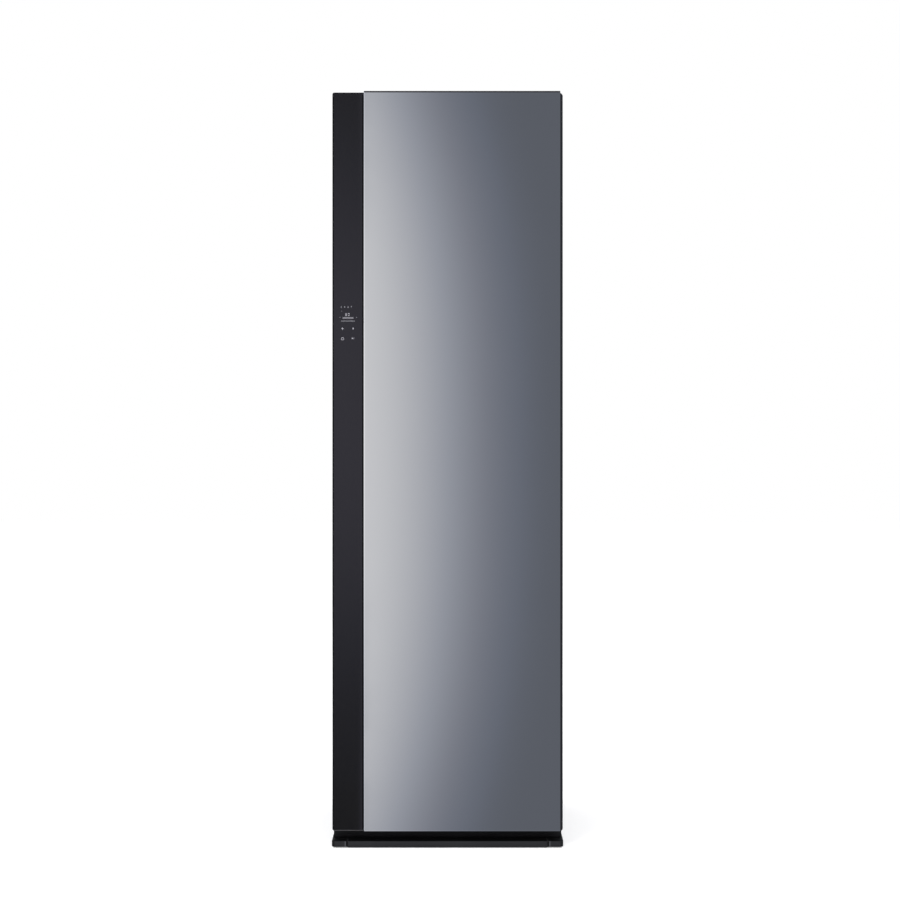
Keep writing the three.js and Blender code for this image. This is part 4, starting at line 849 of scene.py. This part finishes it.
def makePressDetail(values):
    low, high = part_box("press_panel")
    inset = values["inset"]
    bottom, top = low.z + values["rim"] + inset, high.z - values["rim"] - inset
    width = high.x - values["latchSide"] - low.x - 2 * inset
    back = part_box("press_pad")[1].y + values["gap"]
    slat = blockOf(span(values["half"]), span((top - bottom) / 2), (-values["seat"], values["rise"]),
                   values["ease"])
    place = (low.x + inset + width / 2, back + values["thick"], (top + bottom) / 2)
    repeatGrid("pressSlats", slat, "press", "smokeMoulding", "smoke_plastic", (values["columns"], 1),
               (width, 0), place, (-math.pi / 2, 0, 0))
    bm = bmesh.new()
    inset = values["feltInset"]
    addBlock(bm, (low.x + inset, high.x - values["feltSide"]),
             (back - values["feltRise"], back + values["feltSeat"]),
             (low.z + values["rim"] + inset, high.z - values["rim"] - inset), values["feltEase"])
    felt = addPiece("pressFelt", bm, "press", "padWeave", "pad_fabric")


makePressDetail(pressValues)
print("press detail made")

# Thin lines on the glass and at its foot: painted shade down both sides of the touch strip, a painted
# highlight under it, painted highlights on the mirror's left and lower edges, and a dark line at the
# mirror's top. Then rubber joints between the three base mouldings, and finger ribs in the grip pocket.
edgeValues = {"lineRise": 0.00004, "lineSeat": 0.0002, "margin": 0.0001, "edgeShadeWidth": 0.0034,
              "edgeShadeTop": 0.0055, "highlightWidth": 0.0021, "topLine": 0.0029, "glassBevel": 0.0012,
              "lineRound": 0.4, "footLine": (0.0001, 0.0017), "stripFootHighlightInset": 0.0045,
              "jointX": (0.2584, 0.2616), "jointBack": 0.0045, "jointInset": (0.0005, 0.0004, 0.0006),
              "ribPitch": 0.008, "ribLength": 0.244, "ribPlace": (-0.2765, -0.262, 1.13),
              "ribHalf": (0.0014, 0.0078), "ribSeat": 0.0005, "ribRise": 0.0012, "ribEase": 0.0005}


def makeEdgeDetail(values):
    def makeLine(name, spans, z, face, finishName, slot, seat=values["lineSeat"]):
        bm = bmesh.new()
        for x in spans:
            outline = flatLoop(x, z, values["lineRound"] * min(x[1] - x[0], z[1] - z[0]))
            addPrism(bm, outline, (face - values["lineRise"], face + seat))
        addPiece(name, bm, "door", finishName, slot)

    low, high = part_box("control_strip")
    border, margin = values["edgeShadeWidth"], values["margin"]
    # painted shade: dark lines down both sides of the touch strip
    makeLine("stripBorders", ((low.x + margin, low.x + border), (high.x - border, high.x - margin)),
             (low.z + margin, high.z - values["edgeShadeTop"]), low.y, "glassBorder", "black_glass")
    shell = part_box("door_frame")[0]
    # a painted highlight line at the foot of the touch strip
    makeLine("footLine", ((low.x + values["stripFootHighlightInset"], high.x),),
             [shell.z + edge for edge in values["footLine"]], shell.y, "footLine", "dark_plastic")
    low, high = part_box("mirror_panel")
    bevel = values["glassBevel"]
    left, right, top = low.x + bevel, high.x - bevel, high.z - bevel
    under = top - values["topLine"]
    # painted highlight along the mirror's left edge
    makeLine("mirrorEdge", ((left, left + values["highlightWidth"]),), (low.z + bevel, under), low.y,
             "polishedEdge", "mirror")
    makeLine("mirrorTopLine", ((left, right),), (under, top), low.y, "doorShell", "mirror")
    # painted highlight along the mirror's lower edge
    makeLine("mirrorLowerEdge", ((left, right),), (low.z + margin, low.z + margin + bevel), low.y,
             "polishedEdge", "mirror", bevel)

    low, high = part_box("base_front_bar")
    behind, below, above = values["jointInset"]
    bm = bmesh.new()
    for side in (-1, 1):
        addBlock(bm, sorted(side * edge for edge in values["jointX"]),
                 (low.y + values["jointBack"], high.y - behind), (low.z + below, high.z - above))
    addPiece("baseJoints", bm, "cabinet", "rubberMoulding", "rubber")
    halfX, halfY = values["ribHalf"]
    length = values["ribLength"]
    rib = blockOf(span(halfX), span(halfY), (-values["ribSeat"], values["ribRise"]), values["ribEase"], 1)
    count = int(length / values["ribPitch"]) + 1
    repeatGrid("gripRibs", rib, "door", "darkMoulding", "dark_plastic", (count, 1), (length, 0),
               values["ribPlace"], (0, -math.pi / 2, 0))


makeEdgeDetail(edgeValues)

# Garment cavity: pressed ribs on the rear and side walls, and a pressed border on the rear wall.
cavityValues = {
    "seat": 0.0006, "borderSeat": 0.0005,
    "rear": {"columns": 12, "width": 0.36, "z": (0.66, 1.74), "half": 0.005, "rise": 0.0018, "ease": 0.0016},
    "border": {"x": 0.214, "z": (0.615, 1.785), "radius": 0.03, "width": 0.007, "rise": 0.0014},
    "side": {"rows": 4, "depth": 0.21, "z": (0.70, 1.74), "half": 0.004, "rise": 0.0014, "ease": 0.0012,
             "y": 0.05},
}


def makeCavityDetail(values):
    rear, border, side = values["rear"], values["border"], values["side"]
    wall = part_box("case_back")[0].y
    reach = (rear["z"][1] - rear["z"][0]) / 2
    rib = blockOf(span(rear["half"]), span(reach), (-values["seat"], rear["rise"]), rear["ease"])
    repeatGrid("rearWallRibs", rib, "cabinet", "linerMoulding", "liner_plastic", (rear["columns"], 1),
               (rear["width"], 0), (0, wall, sum(rear["z"]) / 2), (math.pi / 2, 0, 0))
    bm = bmesh.new()
    frameBand(bm, span(border["x"]), border["z"], border["radius"], border["width"],
              (wall - border["rise"], wall + values["borderSeat"]))
    addPiece("rearWallBorder", bm, "cabinet", "linerMoulding", "liner_plastic")
    reach = (side["z"][1] - side["z"][0]) / 2
    rib = blockOf(span(reach), span(side["half"]), (-values["seat"], side["rise"]), side["ease"])
    for name, inside, turn in (("leftWallRibs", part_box("case_wall_left")[1].x, math.pi / 2),
                               ("rightWallRibs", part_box("case_wall_right")[0].x, -math.pi / 2)):
        repeatGrid(name, rib, "cabinet", "linerMoulding", "liner_plastic", (1, side["rows"]),
                   (0, side["depth"]), (inside, side["y"], sum(side["z"]) / 2), (0, turn, 0))


makeCavityDetail(cavityValues)

# Rubber stops between the notches of the hanger bar, and its end caps.
barValues = {"height": 1.8, "ringCount": 5, "ringSpan": 0.208, "ringRadius": 0.0096, "ringWidth": 0.0022,
             "ringRidge": 0.0008, "capRadius": 0.0099, "capGrip": 0.009, "capShoulder": 0.001, "cap": 0.005,
             "capEnd": 0.006}


def makeBarDetail(values):
    radius, half, height = values["ringRadius"], values["ringWidth"], values["height"]

    def ring(bm):
        addRod(bm, radius, (-half, 0, 0), (half, 0, 0), 20)
        addRod(bm, radius + values["ringRidge"], (-half / 2, 0, 0), (half / 2, 0, 0), 20)

    repeatGrid("barStops", ring, "hanger", "rubberMoulding", "rubber", (values["ringCount"], 1),
               (values["ringSpan"], 0), (0, 0, height))
    low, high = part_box("hanger_bar")
    bm = bmesh.new()
    for end, side in ((low.x, -1), (high.x, 1)):
        inner, shoulder, outer = ((end + side * reach, 0, height)
                                  for reach in (-values["capGrip"], values["capShoulder"], values["cap"]))
        addRod(bm, values["capRadius"], inner, shoulder)
        addRod(bm, values["capRadius"], shoulder, outer, endRadius=values["capEnd"])
    addPiece("barCaps", bm, "hanger", "darkMoulding", "dark_plastic")


makeBarDetail(barValues)
print("cavity detail made")

# A dark front plate with a window on each tank, level marks beside it, and a drop above: full
# for the supply, a ring for the drain.
tankValues = {"plateX": 0.100, "plateZ": (0.082, 0.236), "plateRadius": 0.012, "windowX": 0.078,
              "windowZ": (0.098, 0.186), "windowRadius": 0.008, "thick": 0.0014, "seat": 0.0003, "marks": 7,
              "markSpan": 0.072, "markInset": 0.008, "markHalf": (0.004, 0.0005),
              "markDepth": (-0.0002, 0.0004), "dropZ": 0.210, "dropSize": 0.0075, "dropHole": 0.7,
              "dropDepth": (-0.0003, 0.0002)}


def dropOutline(x, z, size, count=20):
    points = []
    for index in range(count):
        angle = math.radians(360 * index / count)
        pull = max(0.0, math.sin(angle)) ** 3
        points.append((x + size * math.cos(angle) * (1 - 0.75 * pull),
                       z + size * (math.sin(angle) + 0.7 * pull)))
    return points


def makeTankDetail(values):
    for short in ("supply", "drain"):
        tank = short + "_tank"
        low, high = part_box(tank)
        middle = (low.x + high.x) / 2
        face = low.y - values["thick"]
        bm = bmesh.new()
        addBand(bm, flatLoop(span(values["plateX"], middle), values["plateZ"], values["plateRadius"]),
                flatLoop(span(values["windowX"], middle), values["windowZ"], values["windowRadius"]),
                (face, low.y + values["seat"]))
        addPiece(short + "TankPlate", bm, tank, "smokeMoulding", "smoke_plastic")
        mark = blockOf(*(span(half) for half in values["markHalf"]), values["markDepth"])
        repeatGrid(short + "TankMarks", mark, tank, "boardMoulding", "board_plastic", (1, values["marks"]),
                   (0, values["markSpan"]),
                   (middle - values["windowX"] + values["markInset"], low.y, sum(values["windowZ"]) / 2),
                   (math.pi / 2, 0, 0))
        bm = bmesh.new()
        drop, hole = (dropOutline(middle, values["dropZ"], values["dropSize"] * part)
                      for part in (1, values["dropHole"]))
        front = [face + depth for depth in values["dropDepth"]]
        if short == "supply":
            addPrism(bm, drop, front)
        else:
            addBand(bm, drop, hole, front)
        addPiece(short + "TankDrop", bm, tank, "boardMoulding", "board_plastic")


makeTankDetail(tankValues)

# Wire screen on the bottom of the lint tray.
screenValues = {"x": 0.103, "y": (-0.2005, -0.1555), "z": 0.3492, "wire": 0.0004, "pitch": 0.003,
                "lift": 0.0006, "margin": 0.002}


def makeLintScreen(values):
    depth, width = values["y"][1] - values["y"][0], 2 * values["x"]
    rows, columns = (int(length / values["pitch"]) for length in (depth, width))
    for name, end, count, size, lift in (
            ("screenLongWires", (values["x"], 0, 0), (1, rows), (0, depth - values["margin"]), 0),
            ("screenShortWires", (0, depth / 2, 0), (columns, 1), (width - values["margin"], 0),
             values["lift"])):
        repeatGrid(name, rodOf(values["wire"], end, 5), "lint_filter", "barSteel", "brushed_steel", count,
                   size, (0, sum(values["y"]) / 2, values["z"] + lift))


makeLintScreen(screenValues)
print("tanks and filter detailed")

# Inside of the door: two pressed borders in the liner, and rubber stops at the ends of the
# clip rail.
linerValues = {"x": 0.247, "upper": (0.660, 1.905), "lower": (0.075, 0.640), "radius": 0.022,
               "width": 0.006, "seat": 0.0005, "rise": 0.0014, "stop": 0.009, "stopLow": 0.001,
               "stopHigh": 0.004, "stopInset": 0.003, "stopRise": 0.0045, "stopEase": 0.0014}


def makeLinerDetail(values):
    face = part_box("door_liner")[1].y
    bm = bmesh.new()
    for z in (values["upper"], values["lower"]):
        frameBand(bm, span(values["x"]), z, values["radius"], values["width"],
                  (face - values["seat"], face + values["rise"]))
    addPiece("linerBorders", bm, "door", "linerMoulding", "liner_plastic")
    low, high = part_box("trouser_rail")
    top = high.z - values["stopHigh"]
    bm = bmesh.new()
    for z in ((low.z + values["stopLow"], low.z + values["stop"]), (top - values["stop"], top)):
        addBlock(bm, (low.x + values["stopInset"], high.x - values["stopInset"]),
                 (high.y - values["seat"], high.y + values["stopRise"]), z, values["stopEase"])
    addPiece("railStops", bm, "door", "rubberMoulding", "rubber")


makeLinerDetail(linerValues)

# Ribs on the jaws of the clip, and slots in the cartridge's top.
clipValues = {"jawSpan": 0.25, "ribHalf": (0.012, 0.0009), "ribs": 6, "ribSpan": 0.026, "middle": 1.646,
              "seat": 0.0004, "rise": 0.0009, "ease": 0.0004, "slotHalf": (0.0014, 0.0055, 0.0003),
              "slotRows": 0.036, "slotSpan": 0.040, "slots": 8, "underFilter": 0.012}


def makeClipDetail(values):
    halfX, halfY = values["ribHalf"]
    rib = blockOf(span(halfX), span(halfY), (-values["seat"], values["rise"]), values["ease"], 1)
    repeatGrid("clipRibs", rib, "trouser_clip", "rubberMoulding", "rubber", (2, values["ribs"]),
               (values["jawSpan"], values["ribSpan"]), (0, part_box("trouser_clip")[1].y, values["middle"]),
               (-math.pi / 2, 0, 0))
    low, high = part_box("aroma_cartridge")
    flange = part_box("lint_filter")[1].z - values["underFilter"]
    slot = blockOf(*(span(half) for half in values["slotHalf"]))
    repeatGrid("cartridgeSlots", slot, "aroma_cartridge", "rubberMoulding", "dark_plastic",
               (values["slots"], 2), (values["slotSpan"], values["slotRows"]),
               ((low.x + high.x) / 2, (low.y + high.y) / 2, flange))


makeClipDetail(clipValues)

# Rear: hexagon screws round the panel, pressed borders, a hood over every vent slot, and the
# inlet's pins. A screw's washer and head are radius, from, to and sides.
rearValues = {"screw": ((0.0050, -0.0004, 0.0007, 16), (0.0036, 0.0005, 0.0026, 6)), "screwPitch": 0.21,
              "screwHalfX": 0.287, "screwZ": (0.030, 1.938), "screwCorner": 0.004,
              "fields": ((0.36, 1.10), (1.14, 1.88)), "fieldX": 0.262, "radius": 0.03, "width": 0.008,
              "seat": 0.0004, "rise": 0.0016, "slotX": 0.1485, "slotLow": 0.173, "slots": 9,
              "slotPitch": 0.014, "hoodHalf": 0.077,
              "hood": ((0.0045, 0.0), (0.0030, 0.0026), (0.0022, 0.0026), (0.0034, 0.0)),
              "pins": ((-0.2435, 0.0725), (-0.2305, 0.0725), (-0.2370, 0.0785)), "pinHalf": (0.0011, 0.0025),
              "pinY": (-0.0115, -0.002), "pinEase": 0.0005}


def makeRearDetail(values):
    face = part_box("rear_panel")[1].y

    def screw(bm):
        for radius, start, end, sides in values["screw"]:
            addRod(bm, radius, (0, start, 0), (0, end, 0), sides)

    def hood(bm):  # a sloped lip, open below
        ends = span(values["hoodHalf"])
        closeRings(bm, [[bm.verts.new((x, *point)) for point in values["hood"]] for x in ends])

    path = roundedLoop(span(values["screwHalfX"]), values["screwZ"], values["screwCorner"], face, 1)
    repeatUnit("rearScrews", pathTree, screw, "cabinet", "screwSteel", "galvanized",
               {"Pitch": values["screwPitch"]}, path)
    bm = bmesh.new()
    for z in values["fields"]:
        frameBand(bm, span(values["fieldX"]), z, values["radius"], values["width"],
                  (face - values["seat"], face + values["rise"]))
    addPiece("rearBorders", bm, "cabinet", "zincSheet", "galvanized")
    height = values["slotPitch"] * (values["slots"] - 1)
    repeatGrid("ventHoods", hood, "cabinet", "hoodPaint", "galvanized", (2, values["slots"]),
               (2 * values["slotX"], height), (0, face, values["slotLow"] + height / 2),
               (math.pi / 2, 0, math.pi))
    bm = bmesh.new()
    halfX, halfZ = values["pinHalf"]
    for x, z in values["pins"]:
        addBlock(bm, span(halfX, x), [face + depth for depth in values["pinY"]], span(halfZ, z),
                 values["pinEase"], 1)
    addPiece("inletPins", bm, "cabinet", "contactBrass", "galvanized")


makeRearDetail(rearValues)

# Screws that hold the hinge cover, and the treads round the front feet.
hardwareValues = {"screwRadius": 0.0031, "screwFromFront": 0.018, "screwFromBack": 0.014,
                  "screwDepth": (-0.001, 0.00025), "slotHalf": (0.0022, 0.0004), "slotRise": 0.0003,
                  "treads": 16, "treadRing": 0.0188, "treadRadius": 0.0013, "treadZ": (0.0030, 0.0074)}


def makeSmallHardware(values):
    low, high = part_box("hinge_cover")
    middle = (low.x + high.x) / 2
    halfX, halfY = values["slotHalf"]
    bm = bmesh.new()
    for y in (low.y + values["screwFromFront"], high.y - values["screwFromBack"]):
        start, end = ((middle, y, high.z + depth) for depth in values["screwDepth"])
        addRod(bm, values["screwRadius"], start, end, 20)
        addBlock(bm, span(halfX, middle), span(halfY, y), (high.z, high.z + values["slotRise"]))
    addPiece("coverScrews", bm, "cabinet", "screwSteel", "dark_plastic")
    for side in ("left", "right"):
        foot = "foot_front_" + side
        low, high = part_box(foot)
        middle = (low + high) / 2
        bm = bmesh.new()
        for index in range(values["treads"]):
            angle = math.radians(360 * index / values["treads"])
            x = middle.x + values["treadRing"] * math.cos(angle)
            y = middle.y + values["treadRing"] * math.sin(angle)
            addRod(bm, values["treadRadius"], *((x, y, z) for z in values["treadZ"]), 8)
        addPiece("treads" + side.capitalize(), bm, foot, "rubberMoulding", "rubber")


makeSmallHardware(hardwareValues)
print("rear and hardware made")

# Floor and lamps. A lamp is its place, its size and its power.
studioValues = {"floorHalf": 20, "tone": (0.93, 0.93, 0.94), "secondTone": (0.9207, 0.9207, 0.9306),
                "patchScale": 0.6, "floorGlow": 0.26, "aim": (0, 0, 0.9),
                "lamps": {"keyLamp": ((-2.6, -3.6, 4.2), 3.2, 170), "fillLamp": ((3.2, -3.0, 2.4), 3.0, 60),
                          "rearLamp": ((1.8, 3.6, 3.8), 3.0, 60)}}


def setStudio(values):
    mesh = bpy.data.meshes.new("studioFloor")
    reach = span(values["floorHalf"])
    mesh.from_pydata([(x, y, 0) for x, y in corners(reach, reach)], [], [(0, 1, 2, 3)])
    floor = bpy.data.objects.new("studioFloor", mesh)
    scene.collection.objects.link(floor)
    tree, shader = newFinish("studioFloor")
    mottle = noiseOf(tree, surfaceCoordinates(tree), values["patchScale"], 2.0)
    setInputs(shader, {"Roughness": 0.9, "Specular IOR Level": 0.1, "Emission Color": (1, 1, 1),
                       "Emission Strength": values["floorGlow"], "Base Color": tint(tree, mottle, values)})
    mesh.materials.append(finish["studioFloor"])
    floor.visible_glossy = False
    for name, (place, size, power) in values["lamps"].items():
        data = bpy.data.lights.new(name, "AREA")
        data.shape = "DISK"
        data.size = size
        data.energy = power
        lamp = bpy.data.objects.new(name, data)
        lamp.location = place
        lamp.rotation_euler = (Vector(values["aim"]) - Vector(place)).to_track_quat("-Z", "Y").to_euler()
        lamp.visible_camera = False
        lamp.visible_glossy = False
        scene.collection.objects.link(lamp)


setStudio(studioValues)

# The room round the studio: even white for the light itself, and for reflections a broad soft
# panel that is bright on the left of the camera and falls off to the right, up and down.
roomValues = {"edge": (-0.0616, 0.0823), "bend": 1.54, "bendPower": 2.5, "middle": -0.003, "fallOff": 1.76,
              "leftEdge": (-0.0512, -0.0493), "leftMiddle": 0.03, "leftReach": (0.02, 0.25),
              "sideEdge": (0.2, 0.95), "sideLift": 0.34, "ambient": 0.85,
              "dark": (0.166, 0.176, 0.205), "bright": (0.966, 0.946, 0.954),
              "between": ((0.06, (0.212, 0.228, 0.276)), (0.2, (0.310, 0.320, 0.370)),
                          (0.42, (0.474, 0.488, 0.543)))}


def setRoom(values):
    world = bpy.data.worlds.new("studioRoom")
    world.use_nodes = True
    scene.world = world
    tree = world.node_tree
    tree.nodes.clear()

    def ramp(value, fromRange, toRange):
        return addNode(tree, "ShaderNodeMapRange", {
            "Value": value, "From Min": fromRange[0], "From Max": fromRange[1], "To Min": toRange[0],
            "To Max": toRange[1]}, interpolation_type="SMOOTHSTEP")

    def light(colour, strength):
        return addNode(tree, "ShaderNodeBackground", {"Color": colour, "Strength": strength})

    def choose(rays, others, chosen):
        seen = addNode(tree, "ShaderNodeLightPath").outputs[rays]
        return addNode(tree, "ShaderNodeMixShader", {"Fac": seen, 1: others, 2: chosen})

    direction = addNode(tree, "ShaderNodeTexCoord").outputs["Generated"]
    parts = addNode(tree, "ShaderNodeSeparateXYZ", {"Vector": direction}).outputs
    across, tall = parts["X"], parts["Z"]
    height = compute(tree, "ABSOLUTE", compute(tree, "SUBTRACT", tall, values["middle"]))
    bend = compute(tree, "MULTIPLY", compute(tree, "POWER", height, values["bendPower"]), values["bend"])
    bent = compute(tree, "ADD", across, bend)
    panel = compute(tree, "POWER", ramp(bent, values["edge"], (1, 0)), values["fallOff"])
    away = compute(tree, "ABSOLUTE", compute(tree, "SUBTRACT", tall, values["leftMiddle"]))
    narrowed = compute(tree, "MULTIPLY", panel, ramp(away, values["leftReach"], (1, 0)))
    mixed = addNode(tree, "ShaderNodeMix",
                    {0: ramp(across, values["leftEdge"], (1, 0)), 2: panel, 3: narrowed})
    level = compute(tree, "ADD", mixed, ramp(across, values["sideEdge"], (0, values["sideLift"])))
    colours = addNode(tree, "ShaderNodeValToRGB", {"Fac": level})
    stops = colours.color_ramp.elements
    stops[0].color = (*values["dark"], 1)
    stops[1].color = (*values["bright"], 1)
    for place, colour in values["between"]:
        stops.new(place).color = (*colour, 1)
    plain = choose("Is Camera Ray", light((1, 1, 1), values["ambient"]), light((1, 1, 1), 1.0))
    addNode(tree, "ShaderNodeOutputWorld", {"Surface": choose("Is Glossy Ray", plain, light(colours, 1.0))})


setRoom(roomValues)
scene.view_settings.view_transform = "Standard"
print("studio ready")
